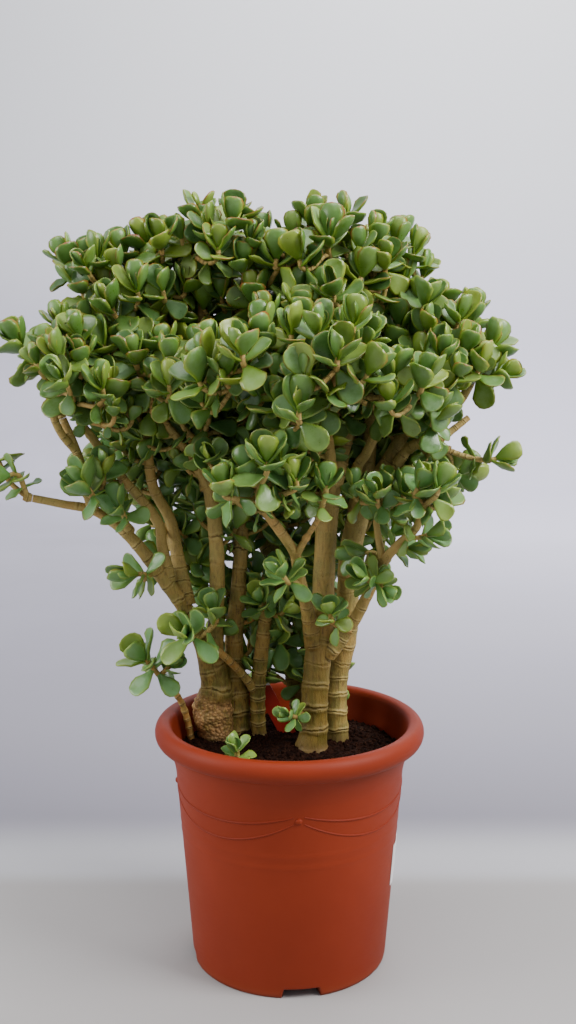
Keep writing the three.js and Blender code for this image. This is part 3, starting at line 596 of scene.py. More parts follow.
@dataclass
class Growth:
    """Works out where every limb, twig and leaf of the plant is.

    The first two leaf pairs of each rosette and the twigs that carry them follow the draws that the
    solids were made with. Where a solid took a later draw, to stay clear of its neighbours, the
    solid's own corners tell which one.

    Args:
        stem_lap: how far below a leafy stem's end its twigs start.
        ring_spacing: the distance of the ring scars, at no radius and for each metre of radius.
        lean: how far a rosette leans out at the crown's edge, high up and how much more low down.
        long_twig, short_twig: the lengths above which a twig has two points on its way, or one.
        knuckle_knots, twig_knots, shoot_knots: how many ring scars there are on each metre of them.
        ball_step, leaf_ball: how close together a stick's balls stand in the crowd, and a leaf's radius.
        canopy_foot: the height below which only the trunks hide a shoot.
        skirt_foot, trunks_back: the height above which and the Y behind which they do.
        shelter_angle: how far aside an outer rosette still hides a shoot.
        side_shoots: from the top down, a height and how many side shoots a bud above it gets.
        side_fork, side_drop, side_reach: where on the bud's twig they start, and how far below and
            beside the bud they end, in millimetres.
        inner_reach, inner_leaf: how long the inner shoots and their leaves are, in millimetres.
        bare_below, bare_every: the height below which one of so many shoots is left out.
        corner_far, corner_wide: the places along a solid's leaf of its corners, and their half-widths.
        curl, cup: how far they are raised, growing towards the tip, and all along.
        attempts: how many draws a solid's leaf could come from.
        painted_light_below, painted_light_depth: the height below which leaves are painted lighter, as if
            lit, and over what depth.
        sunny_side, sunny_depth: the X beyond which they are painted lighter too, and over what depth.
        painted_light_share: how much of the way to the palest tone that painted light takes a leaf.
        unruly, stretch: how much more the further leaves stray, and how much longer they are.
        margin: how far inside the plant's box a leaf stays.
        touch: how close a solid's corner is to a point that it stands for.
        pairs, solid_pairs: a rosette's leaf pairs, and how many of them the solid has.
        bends: how far a twig may be bent aside and upwards, in millimetres.
    """

    gap: float = 0.3 * MM
    knuckle: float = 1.25
    stem_lap: float = 5 * MM
    twig_radius: float = 3.2 * MM
    bud_radius: float = 3.5 * MM
    bud_length: float = 13 * MM
    ring_spacing: Pair = (0.006, 1.1)
    limb_flare: float = 1.22
    lean: Pair = (0.55, 0.5)
    handle: float = 0.35
    long_twig: float = 90 * MM
    short_twig: float = 45 * MM
    knuckle_knots: float = 90
    twig_knots: float = 125
    shoot_knots: float = 135
    ball_step: float = 6 * MM
    leaf_ball: float = 3.5 * MM
    crown_axis: Pair = (0.0, 20 * MM)
    crown_reach: float = 300 * MM
    crown_middle: float = 650 * MM
    canopy_foot: float = 600 * MM
    slender_height: float = 570 * MM
    skirt_foot: float = 330 * MM
    skirt_reach: float = 60 * MM
    skirt_flare: float = 0.95
    trunks_back: float = 48 * MM
    shelter_angle: float = math.radians(24)
    side_shoots: tuple[tuple[float, int], ...] = ((690 * MM, 4), (600 * MM, 2), (540 * MM, 1))
    side_tries: int = 32
    side_fork: Pair = (0.1, 0.6)
    side_drop: Pair = (2, 32)
    side_reach: Pair = (33, 54)
    side_step: float = 4 * MM
    inner_reach: Pair = (34, 64)
    inner_leaf: Pair = (29, 38)
    shoot_step: float = 13 * MM
    shoot_spacing: float = 25 * MM
    shoot_tries: int = 14
    shoot_slimness: float = 0.86
    shoot_handle: float = 0.4
    bare_below: float = 640 * MM
    bare_every: int = 4
    corner_far: Pair = (0.96, 0.2)
    corner_wide: Pair = (0.5, 0.34)
    curl: float = 0.16
    cup: float = 0.07
    attempts: int = 5
    painted_light_below: float = 680 * MM
    painted_light_depth: float = 160 * MM
    sunny_side: float = 80 * MM
    sunny_depth: float = 120 * MM
    painted_light_share: float = 0.6
    leaf_tries: int = 3
    roll: float = 0.35
    unruly: float = 1.9
    stretch: float = 1.06
    blush_range: Pair = (-0.5, 0.6)
    blush_rise: float = 0.55
    yellow_range: Pair = (-0.7, 1.0)
    yellow_most: float = 0.9
    margin: float = 1.0 * MM
    touch: float = 0.7 * MM
    pairs: tuple[LeafPair, ...] = (
        LeafPair(0, 66, 0.97, 10 * MM, 0.75), LeafPair(1, 38, 1.0, 3.5 * MM, 0.45),
        LeafPair(2, 20, 0.84, 0.5 * MM, 0.2), LeafPair(3, 9, 0.58, -1.5 * MM, 0.0),
        LeafPair(-1, 86, 0.92, 18 * MM, 0.9), LeafPair(-2, 104, 0.8, 28 * MM, 1.0))
    solid_pairs: int = 2
    bends: tuple[Pair, ...] = (
        (0, 0), (9, 0), (-9, 0), (0, 9), (0, -9), (18, 0), (-18, 0), (0, 18), (0, -18))

    SEED_FACTORS = (7919, 104729, 1299709)
    SEED_RANGE = 1000003
    SOLID_STREAM = 31
    FURTHER_STREAM = 977
    SIDE_STREAM = 55
    LIMB_STREAM = 101

    def __post_init__(self) -> None:
        """Grows the plant."""
        self.crowd = Crowd()
        self.stems: dict[str, list[Stick]] = {}
        self.sprays: list[Spray] = []
        for name, stem, path, _ in LIMBS:
            self._add_limb(stem, path)
        for name, _, path, tips in LIMBS:
            if tips:
                self._add_spray(name, path, tips, rooted=False)
        for name, path, tips in LEAFY_STEMS:
            self._add_spray(name, path, tips, rooted=True)
        for spray in self.sprays:
            self._first_leaves(spray)
        for spray in self.sprays:
            self._further_leaves(spray, spray.buds)
        for name, place, tip in EXTRA_ROSETTES:
            self._extra_rosette(name, place, tip)
        for spray in self.sprays:
            self._side_shoots(spray)
        self._inner_shoots()

    def _limb_stick(self, path: Rows) -> Stick:
        """A limb's table row as a stick.

        Args:
            path: points with x, y, z and radius in millimetres.

        Returns:
            The stick in metres.
        """
        points = [Vector(point[:3]) * MM for point in path]
        radii = [point[3] * MM for point in path]
        thick = max(radii)
        base, growth = self.ring_spacing
        return Stick(points, radii, knots=1 / (base + growth * thick), flare=self.limb_flare)

    def _add_limb(self, stem: str, path: Rows) -> None:
        """Adds a limb to its stem and to the crowd.

        Args:
            stem: the stem's name.
            path: the limb's points in millimetres.
        """
        stick = self._limb_stick(path)
        self.stems.setdefault(stem, []).append(stick)
        self._crowd_stick(stick, owner=0)

    def _crowd_stick(self, stick: Stick, owner: int) -> None:
        """Puts a stick into the crowd as a row of balls.

        Args:
            stick: the stick.
            owner: its owner's number.
        """
        for i in range(len(stick.points) - 1):
            a, b = stick.points[i], stick.points[i + 1]
            count = max(1, round((b - a).length / self.ball_step))
            for step in range(count):
                share = step / count
                radius = stick.radii[i] * (1 - share) + stick.radii[i + 1] * share
                self.crowd.add(a.lerp(b, share), radius, owner)

    def _seed(self, tip: Sequence[float]) -> int:
        """The stream's number for a rosette, from its place in millimetres."""
        mixed = sum(value * factor for value, factor in zip(tip, self.SEED_FACTORS))
        return abs(round(mixed)) % self.SEED_RANGE

    def axis(self, top: Vector, tip: Sequence[float] = ()) -> Vector:
        """The direction in which a rosette looks.

        Args:
            top: the rosette's place.
            tip: its row of the table, with a direction after four numbers where it has its own.

        Returns:
            A direction of length 1.
        """
        if len(tip) > 4:
            return Vector(tip[4:]).normalized()
        lowness = max(0.0, (self.crown_middle - top.z) / self.crown_reach)
        lean = (self.lean[0] + self.lean[1] * lowness) / self.crown_reach
        outward = ((top.x - self.crown_axis[0]) * lean, (top.y - self.crown_axis[1]) * lean, 1.0)
        return Vector(outward).normalized()

    def _route(self, start: Frame3, top: Vector, axis: Vector, bend: Pair) -> list[Vector]:
        """The points that a twig passes through.

        Args:
            start: where it leaves its limb.
            top: the rosette's place.
            axis: the rosette's direction.
            bend: how far the twig is bent aside, in millimetres.

        Returns:
            The points, the last two of which are the bud's.
        """
        foot = top - axis * self.bud_length
        distance = (foot - start.place).length
        side = Vector((0.0, 0.0, 1.0)).cross(start.along).normalized()
        shift = side * (bend[0] * MM) + side.cross(start.along) * (bend[1] * MM)
        first = start.place + start.along * (distance * self.handle) + shift
        second = foot - axis * (distance * self.handle) + shift
        shares = (0.35, 0.7) if distance > self.long_twig else (0.5,) if distance > self.short_twig else ()
        middle = [bezier_point(start.place, first, second, foot, share) for share in shares]
        return [start.place, *middle, foot, top]

    def _solid_tree(self, spray: Spray) -> kdtree.KDTree:
        """The corners of a spray's solid, ready to be asked.

        Args:
            spray: the spray.

        Returns:
            A tree of the corners.
        """
        vertices = frame["nodes"][spray.node()].data.vertices
        tree = kdtree.KDTree(len(vertices))
        for i, vertex in enumerate(vertices):
            tree.insert(vertex.co, i)
        tree.balance()
        return tree

    def _has(self, tree: kdtree.KDTree, point: Vector) -> bool:
        """Tells whether a solid has a corner at a point."""
        return tree.find(point)[2] < self.touch

    def _add_spray(self, name: str, path: Rows, tips: Rows, rooted: bool) -> None:
        """Adds the twigs and buds of one limb's end.

        Args:
            name: the limb's name.
            path: the limb's points in millimetres.
            tips: its rosettes in millimetres.
            rooted: True for a leafy stem that stands in the soil by itself.
        """
        spray = Spray(name)
        stick = self._limb_stick(path)
        end = stick_frames(stick.points)[-1]
        along = (stick.points[-1] - stick.points[-2]).normalized()
        size = stick.radii[-1] * self.knuckle
        offset = -self.stem_lap if rooted else size + self.gap
        start = Frame3(end.place + along * offset, along, end.side, end.front)
        if rooted:
            spray.twigs.append(stick)
            self._crowd_stick(stick, owner=0)
        else:
            foot = end.place + along * (self.gap + 0.2 * MM)
            swell = [stick.radii[-1] * 1.02, size * 0.98, size * 0.8]
            points = [foot, start.place, start.place + along * size * 0.9]
            spray.twigs.append(Stick(points, swell, knots=self.knuckle_knots))
        tree = self._solid_tree(spray)
        for tip in tips:
            self._add_twig(spray, start, tip, tree)
        self.sprays.append(spray)

    def _add_twig(self, spray: Spray, start: Frame3, tip: Sequence[float], tree: kdtree.KDTree) -> None:
        """Adds a twig with its bud, bent as the solid's is.

        Args:
            spray: the spray that it is part of.
            start: where it leaves the limb.
            tip: its rosette's row of the table.
            tree: the corners of the spray's solid.
        """
        top = Vector(tip[:3]) * MM
        axis = self.axis(top, tip)
        seed = self._seed(tip)
        turn = math.radians(Draws(seed).next() * 90)
        best: list[Vector] = []
        best_score = -1
        for bend in self.bends:
            route = self._route(start, top, axis, bend)
            frames = stick_frames(route, turn)
            score = 0
            for item in frames[1:-2]:
                for arm in (item.side, -item.side, item.front, -item.front):
                    score += self._has(tree, item.place + arm * self.twig_radius)
            if score > best_score:
                best, best_score = route, score
        frames = stick_frames(best, turn)
        radii = [self.twig_radius] * (len(best) - 1) + [self.bud_radius * 0.8]
        twig = Stick(best, radii, knots=self.twig_knots)
        spray.twigs.append(twig)
        self._crowd_stick(twig, owner=seed)
        spray.buds.append(Bud(top, frames[-1], tip[3] * MM, seed, twig))

    def _leaf(self, bud: Bud, pair: LeafPair, turn: float, draws: Draws, unruly: float = 1.0) -> Leaf:
        """One leaf of a pair.

        Args:
            bud: the bud that it grows from.
            pair: the pair.
            turn: 0 or 180, for either leaf of the pair.
            draws: the stream that varies it.
            unruly: how much more it strays from its pair's direction than the solid's leaves do.

        Returns:
            The leaf.
        """
        azimuth = math.radians(45 + pair.number * 90 + turn + draws.around(9) * unruly)
        spread = math.radians(pair.spread + draws.around(12) * unruly)
        length = bud.leaf_length * pair.share * (1 + draws.around(0.1))
        stalk = bud.stalk(pair.drop)
        outward = stalk.side * math.cos(azimuth) + stalk.front * math.sin(azimuth)
        along = stalk.along * math.cos(spread) + outward * math.sin(spread)
        face = stalk.along * math.sin(spread) - outward * math.cos(spread)
        return Leaf(stalk.place, along, face, length, age=pair.age)

    def _corners(self, leaf: Leaf) -> list[Vector]:
        """The corners that a leaf's solid has.

        Args:
            leaf: the leaf.

        Returns:
            Its four corners.
        """
        across = leaf.along.cross(leaf.face)
        corners = []
        for station, half in (self.corner_far, self.corner_wide):
            lift = self.curl * station ** 2 + self.cup
            middle = leaf.root + leaf.along * (station * leaf.length) + leaf.face * (lift * leaf.length)
            corners += [middle + across * (half * leaf.length), middle - across * (half * leaf.length)]
        return corners

    def _first_leaves(self, spray: Spray) -> None:
        """Adds the leaves that the solid has.

        Args:
            spray: the spray to add them to.
        """
        tree = self._solid_tree(spray)
        for bud in spray.buds:
            for pair in self.pairs[:self.solid_pairs]:
                for turn in (0, 180):
                    draws = Draws(bud.seed + self.SOLID_STREAM * pair.number + turn)
                    drawn = [self._leaf(bud, pair, turn, draws) for _ in range(self.attempts)]
                    scores = [sum(self._has(tree, corner) for corner in self._corners(leaf))
                              for leaf in drawn]
                    if max(scores) < 2:
                        continue
                    leaf = drawn[scores.index(max(scores))]
                    while not self._inside(leaf):
                        leaf.length *= 0.97
                    self._keep(spray, bud, leaf, draws)

    def _keep(self, spray: Spray, bud: Bud, leaf: Leaf, draws: Draws) -> None:
        """Gives a leaf its colours and adds it.

        Args:
            spray: the spray that it is part of.
            bud: the bud that it grows from.
            leaf: the leaf.
            draws: the stream that varies it.
        """
        height = (leaf.root.z - self.canopy_foot) / self.crown_reach
        # Painted light: leaves low in the crown and on its right get a lighter tone, standing in for the
        # light that reaches them there.
        painted_light = min(1.0, max(0.0, (self.painted_light_below - leaf.root.z) / self.painted_light_depth))
        painted_light = max(painted_light, min(1.0, (leaf.root.x - self.sunny_side) / self.sunny_depth))
        leaf.tone = draws.next()
        leaf.tone += (1 - leaf.tone) * self.painted_light_share * painted_light
        leaf.blush = min(1.0, max(0.0, draws.between(*self.blush_range) + self.blush_rise * height))
        leaf.yellow = max(0.0, draws.between(*self.yellow_range)) ** 2 * self.yellow_most
        leaf.kind = LeafShapes.pick(leaf.age, draws.next(), leaf.root.z < self.slender_height)
        for point in leaf.samples():
            self.crowd.add(point, self.leaf_ball, bud.seed)
        spray.leaves.append(leaf)

    def _further_leaves(self, spray: Spray, buds: Sequence[Bud]) -> None:
        """Adds the pairs above and below the first ones, and first ones that a solid left out.

        Args:
            spray: the spray to add them to.
            buds: the buds to dress.
        """
        for bud in buds:
            for pair in self.pairs:
                for turn in (0, 180):
                    draws = Draws(bud.seed + self.FURTHER_STREAM * (pair.number + 2) + turn)
                    for _ in range(self.leaf_tries):
                        leaf = self._leaf(bud, pair, turn, draws, self.unruly)
                        leaf.length *= self.stretch
                        leaf.roll(draws.around(self.roll))
                        if self._clear(spray, bud, leaf):
                            self._keep(spray, bud, leaf, draws)
                            break

    def _clear(self, spray: Spray, bud: Bud, leaf: Leaf) -> bool:
        """Tells whether a leaf is new to its bud, inside the plant's box and clear of the others.

        Args:
            spray: the spray that it would be part of.
            bud: the bud that it would grow from.
            leaf: the leaf.

        Returns:
            True where it may stay.
        """
        for other in spray.leaves:
            if (other.root - leaf.root).length < 2 * MM and other.along.dot(leaf.along) > 0.8:
                return False
        if not self._inside(leaf):
            return False
        return not any(self.crowd.blocked(point, self.leaf_ball, bud.seed) for point in leaf.samples())

    def _inside(self, leaf: Leaf) -> bool:
        """Tells whether a leaf lies inside the plant's box."""
        low, high = FRAME_BOX
        return all(low[i] + self.margin < point[i] < high[i] - self.margin
                   for point in leaf.outline() for i in range(3))

    def _extra_rosette(self, name: str, place: float, tip: Sequence[float]) -> None:
        """Adds one of the listed smaller rosettes.

        Args:
            name: the limb that it grows from.
            place: the share of that limb's length.
            tip: its place in millimetres, its leaves' length and its direction.
        """
        _, stem, path, _ = next(limb for limb in LIMBS if limb[0] == name)
        fork = self._limb_stick(path).at(place)
        top = Vector(tip[:3]) * MM
        axis = Vector(tip[4:]).normalized()
        self._add_shoot(self._spray_for(name, stem), fork, top, axis, tip[3] * MM, 0)

    def _side_shoots(self, spray: Spray) -> None:
        """Adds smaller rosettes beside a spray's own, on the inner side of the crown.

        Args:
            spray: the spray to add them to.
        """
        if spray.name in BARE_SPRAYS:
            return
        for bud in list(spray.buds):
            wanted = next((count for height, count in self.side_shoots if bud.top.z > height), 0)
            draws = Draws(bud.seed + self.SIDE_STREAM)
            made = 0
            for _ in range(self.side_tries):
                if made == wanted:
                    break
                fork = bud.twig.at(draws.between(*self.side_fork))
                angle = math.radians(draws.next() * 360)
                outward = bud.frame.side * math.cos(angle) + bud.frame.front * math.sin(angle)
                drop = bud.frame.along * (draws.between(*self.side_drop) * MM)
                top = bud.top + outward * (draws.between(*self.side_reach) * MM) - drop
                step = self.side_step
                if self._reach(top) > self._reach(bud.top) + step or top.z > bud.top.z + step:
                    continue
                axis = (self.axis(top) + outward * 0.35).normalized()
                length = bud.leaf_length * draws.between(0.8, 1.0)
                made += self._add_shoot(spray, fork, top, axis, length, bud.seed)

    def _inner_shoots(self) -> None:
        """Adds small rosettes along the limbs inside the crown and behind the trunks."""
        outer = [bud.top for spray in self.sprays for bud in spray.buds]
        for name, stem, path, _ in LIMBS:
            stick = self._limb_stick(path)
            spray = self._spray_for(name, stem)
            length = stick.length()
            count = int(length / self.shoot_step)
            draws = Draws(len(name) * self.LIMB_STREAM + round(length / MM))
            for number in range(count):
                fork = stick.at((number + draws.next()) / count)
                if fork.place.z < self.bare_below and number % self.bare_every == 0:
                    continue
                for _ in range(self.shoot_tries):
                    angle = math.radians(draws.next() * 360)
                    outward = fork.side * math.cos(angle) + fork.front * math.sin(angle)
                    heading = (outward + fork.along * 0.5 + Vector((0.0, 0.0, 0.5))).normalized()
                    top = fork.place + heading * (draws.between(*self.inner_reach) * MM)
                    size = draws.between(*self.inner_leaf) * MM
                    if not self._sheltered(top, outer):
                        continue
                    axis = (heading + Vector((0.0, 0.0, 0.9))).normalized()
                    if self._add_shoot(spray, fork, top, axis, size, 0):
                        break

    def _spray_for(self, name: str, stem: str) -> Spray:
        """Finds the spray that holds a limb's inner shoots.

        Args:
            name: the limb's name.
            stem: the name of the stem that it is part of.

        Returns:
            The limb's own spray, or the first of its stem.
        """
        mates = [limb[0] for limb in LIMBS if limb[1] == stem and limb[3]]
        chosen = name if name in mates else mates[0]
        return next(spray for spray in self.sprays if spray.name == chosen)

    def _reach(self, point: Vector) -> float:
        """A point's distance from the crown's upright axis."""
        return math.hypot(point.x - self.crown_axis[0], point.y - self.crown_axis[1])

    def _sheltered(self, top: Vector, outer: Sequence[Vector]) -> bool:
        """Tells whether a place is hidden inside the crown or behind the trunks.

        Args:
            top: the place.
            outer: the places of the outer rosettes.

        Returns:
            True where a small rosette may stand there.
        """
        if top.z < self.canopy_foot:
            skirt = self.skirt_reach + self.skirt_flare * (top.z - self.skirt_foot)
            return top.z > self.skirt_foot and top.y > self.trunks_back and self._reach(top) < skirt
        middle = Vector((*self.crown_axis, self.crown_middle))
        ray = top - middle
        distance = ray.length
        for place in outer:
            other = place - middle
            if other.dot(ray) > distance * (distance + 8 * MM) and other.angle(ray) < self.shelter_angle:
                return True
        return False

    def _in_the_open(self, top: Vector) -> bool:
        """Tells whether a place is in front of something that the crown leaves in view."""
        return any(top.y < back * MM and math.hypot(top.x - x * MM, top.z - z * MM) < radius * MM
                   for x, z, radius, back in OPEN_PLACES)

    def _add_shoot(self, spray: Spray, fork: Frame3, top: Vector, axis: Vector, length: float,
                   owner: int) -> bool:
        """Adds a thin shoot with a small rosette, unless it would stand too close to another one.

        Args:
            spray: the spray that it becomes part of.
            fork: where it leaves its limb or twig.
            top: the rosette's place.
            axis: the rosette's direction.
            length: its leaves' length.
            owner: the crowd's number for what it grows from.

        Returns:
            True where it was added.
        """
        if any((other.top - top).length < self.shoot_spacing for item in self.sprays for other in item.buds):
            return False
        if self._in_the_open(top):
            return False
        foot = top - axis * self.bud_length
        handle = (foot - fork.place).length * self.shoot_handle
        first, second = fork.place + fork.along * handle, foot - axis * handle
        middle = [bezier_point(fork.place, first, second, foot, share) for share in (0.3, 0.65)]
        points = [fork.place, *middle, foot, top]
        if any(self.crowd.blocked(point, self.twig_radius, owner) for point in points[2:]):
            return False
        seed = self._seed([round(value / MM) for value in top])
        frames = stick_frames(points, math.radians(Draws(seed).next() * 90))
        slim = self.twig_radius * self.shoot_slimness
        stick = Stick(points, [slim] * 4 + [slim * 0.9], knots=self.shoot_knots)
        bud = Bud(top, frames[-1], length, seed, stick)
        spray.twigs.append(stick)
        spray.buds.append(bud)
        self._crowd_stick(stick, owner=seed)
        self._further_leaves(spray, [bud])
        return True


class Value:
    """A number or colour socket of a node graph, on which arithmetic adds Math nodes."""

    def __init__(self, graph: "Graph", socket: Socket) -> None:
        """Wraps an output socket of a graph."""
        self.graph = graph
        self.socket = socket

    def _math(self, operation: str, *operands: "Value | float") -> "Value":
        """A Math node on this graph."""
        made = self.graph.out("ShaderNodeMath", {"operation": operation}, dict(enumerate(operands)))
        return Value(self.graph, made)

    def __add__(self, other: "Value | float") -> "Value":
        """self + other."""
        return self._math("ADD", self, other)

    __radd__ = __add__

    def __mul__(self, other: "Value | float") -> "Value":
        """self * other."""
        return self._math("MULTIPLY", self, other)

    __rmul__ = __mul__

    def __sub__(self, other: "Value | float") -> "Value":
        """self - other."""
        return self._math("SUBTRACT", self, other)

    def __rsub__(self, other: "Value | float") -> "Value":
        """other - self."""
        return self._math("SUBTRACT", other, self)

    def __abs__(self) -> "Value":
        """The size of self."""
        return self._math("ABSOLUTE", self)

    def fraction(self) -> "Value":
        """The part of self after the point."""
        return self._math("FRACT", self)

    def over(self, other: "Value | float") -> "Value":
        """The larger of self and other."""
        return self._math("MAXIMUM", self, other)

    def smooth(self, low: float, high: float) -> "Value":
        """0 below low, 1 above high and a soft step between them."""
        sockets = {"Value": self, "From Min": low, "From Max": high}
        return Value(self.graph, self.graph.out(
            "ShaderNodeMapRange", {"interpolation_type": "SMOOTHSTEP"}, sockets))


class Graph:
    """A node tree that is built from Python."""

    def __init__(self, tree: bpy.types.NodeTree) -> None:
        """Starts from a tree, which is emptied."""
        self.tree = tree
        tree.nodes.clear()

    def node(self, kind: str, settings: dict | None = None, sockets: dict | None = None) -> bpy.types.Node:
        """Adds a node.

        Args:
            kind: the node's type.
            settings: its properties, which are set first.
            sockets: what its inputs hold, by name or number: a value, or what is linked to them.

        Returns:
            The node.
        """
        made = self.tree.nodes.new(kind)
        for key, value in (settings or {}).items():
            setattr(made, key, value)
        for key, value in (sockets or {}).items():
            self.put(made.inputs[key], value)
        return made

    def out(self, kind: str, settings: dict | None = None, sockets: dict | None = None) -> Socket:
        """Adds a node, as node does, and gives its first output."""
        return self.node(kind, settings, sockets).outputs[0]

    def put(self, socket: Socket, value: object) -> None:
        """Links a socket or sets what it holds.

        Args:
            socket: an input socket.
            value: an output to link, or a plain value.
        """
        if isinstance(value, Value):
            self.tree.links.new(value.socket, socket)
        elif isinstance(value, Socket):
            self.tree.links.new(value, socket)
        else:
            socket.default_value = value

    def noise(self, vector: object, scale: float, detail: float = 3.0, roughness: float = 0.55) -> Value:
        """A noise from 0 to 1 with its bumps per metre, its finer layers and how strong those are."""
        sockets = {"Vector": vector, "Scale": scale, "Detail": detail, "Roughness": roughness}
        return Value(self, self.out("ShaderNodeTexNoise", {}, sockets))

    def stretched(self, vector: object, scale: Point) -> Socket:
        """A vector with each of its parts scaled by its own factor."""
        return self.out("ShaderNodeVectorMath", {"operation": "MULTIPLY"}, {0: vector, 1: scale})

    def split(self, vector: object) -> tuple[Value, ...]:
        """The three parts of a vector."""
        parts = self.node("ShaderNodeSeparateXYZ", {}, {0: vector}).outputs
        return tuple(Value(self, part) for part in parts)

    def rings(self, place: object, foot: float) -> tuple[Value, Value]:
        """Where and how strongly the bark's ring scars stand, for its shape and its colours alike.

        Args:
            place: the place on the bark.
            foot: the scars' strength at the trunks' foot, where they run all round.

        Returns:
            How far a place belongs to that foot, and the scars' strength there.
        """
        low = 1 - self.split(place)[2].smooth(*RINGED_FOOT)
        return low, self.noise(place, 14.0, 1.0).smooth(0.42, 0.60) * (1 - low) + low * foot


class Finish(Graph):
    """A material with a Principled surface, built node by node."""

    def __init__(self, name: str, roughness: float, specular: float = 0.5) -> None:
        """Starts the material.

        Args:
            name: its name.
            roughness: how matt it is.
            specular: how strongly it mirrors.
        """
        self.material = bpy.data.materials.new(name)
        self.material.use_nodes = True
        super().__init__(self.material.node_tree)
        self.surface = self.node("ShaderNodeBsdfPrincipled", {}, {"Roughness": roughness,
                                                                  "Specular IOR Level": specular})
        self.node("ShaderNodeOutputMaterial", {}, {"Surface": self.surface.outputs[0]})
        self.place = self.node("ShaderNodeTexCoord").outputs["Object"]

    def attribute(self, name: str) -> Value:
        """A number stored on the piece's corners."""
        return Value(self, self.node("ShaderNodeAttribute", {"attribute_name": name}).outputs["Fac"])

    def attributes(self, name: str) -> tuple[Value, ...]:
        """The three parts of a vector stored on the piece's corners."""
        return self.split(self.node("ShaderNodeAttribute", {"attribute_name": name}).outputs["Vector"])

    def mix(self, factor: Value | float, first: object, second: object) -> Socket:
        """A colour between two others.

        Args:
            factor: 0 for the first and 1 for the second.
            first: a colour or what gives one.
            second: the other one.

        Returns:
            The mixed colour.
        """
        blend = self.node("ShaderNodeMix", {"data_type": "RGBA"}, {0: factor})
        for socket, colour in ((blend.inputs[6], first), (blend.inputs[7], second)):
            self.put(socket, (*colour, 1.0) if isinstance(colour, tuple) else colour)
        return blend.outputs[2]

    def bump(self, height: Value, strength: float, distance: float) -> None:
        """Raises the relief by a height from 0 to 1, with its strength and its real height in metres."""
        sockets = {"Height": height, "Strength": strength, "Distance": distance}
        self.put(self.surface.inputs["Normal"], self.out("ShaderNodeBump", {}, sockets))

    def colour(self, value: Socket) -> None:
        """Sets the base colour."""
        self.put(self.surface.inputs["Base Color"], value)

    def roughness(self, value: Value) -> None:
        """Sets the roughness."""
        self.put(self.surface.inputs["Roughness"], value)


@dataclass(frozen=True)
class LeafFinish:
    """The waxy leaf: grey-green bloom over green, with a yellow-green or red margin."""

    deep: Colour = (0.030, 0.092, 0.010)
    fresh: Colour = (0.102, 0.228, 0.013)
    bloom: Colour = (0.215, 0.340, 0.190)
    under: Colour = (0.110, 0.228, 0.032)
    cool: Colour = (0.125, 0.300, 0.092)
    lime: Colour = (0.340, 0.400, 0.030)
    red: Colour = (0.260, 0.035, 0.015)
    cool_heights: Pair = (0.56, 0.73)

    def make(self) -> bpy.types.Material:
        """Builds the material."""
        finish = Finish(Slot.LEAF.value, roughness=0.4, specular=0.5)
        finish.surface.inputs["Subsurface Weight"].default_value = 0.06
        finish.surface.inputs["Subsurface Scale"].default_value = 0.003
        finish.surface.inputs["Subsurface Radius"].default_value = (0.4, 1.0, 0.2)
        tone, blush, yellow = finish.attributes("tint")
        along, across, upper = finish.attributes("blade")
        height = finish.split(finish.place)[2]
        cloud = finish.noise(finish.place, 70.0, 2.0)
        grain = finish.noise(finish.place, 420.0, 3.0)
        green = finish.mix((tone * 0.9 + cloud * 0.6 - 0.25).smooth(0.0, 1.0), self.deep, self.fresh)
        waxy = (cloud * 0.9 + grain * 0.4 - 0.3).smooth(0.0, 0.6) * (tone * 0.7 + 0.15)
        waxy = waxy * (0.35 + 0.65 * along.smooth(0.1, 0.7)) * (1 - 0.6 * abs(across).smooth(0.3, 1.0))
        green = finish.mix(waxy * 0.9, green, self.bloom)
        green = finish.mix((1 - upper) * 0.45, green, self.under)
        shaded = (1 - height.smooth(*self.cool_heights)) * (0.25 + 0.75 * cloud)
        green = finish.mix(shaded * 0.7, green, self.cool)
        green = finish.mix(yellow * (0.3 + 0.4 * along), green, self.lime)
        rim = abs(across).over(along.smooth(0.84, 1.0) * 0.97)
        edge = (rim + (cloud - 0.5) * 0.6).smooth(0.55, 1.25)
        green = finish.mix(edge * (0.3 + 0.4 * tone), green, self.lime)
        rose = (rim + (cloud - 0.5) * 0.3).smooth(0.84, 1.02) * blush
        finish.colour(finish.mix(rose * along.smooth(0.35, 0.8), green, self.red))
        finish.roughness(0.22 + 0.22 * waxy + 0.12 * grain)
        finish.bump(cloud * 0.7 + grain * 0.3, 0.35, 0.0008)
        return finish.material


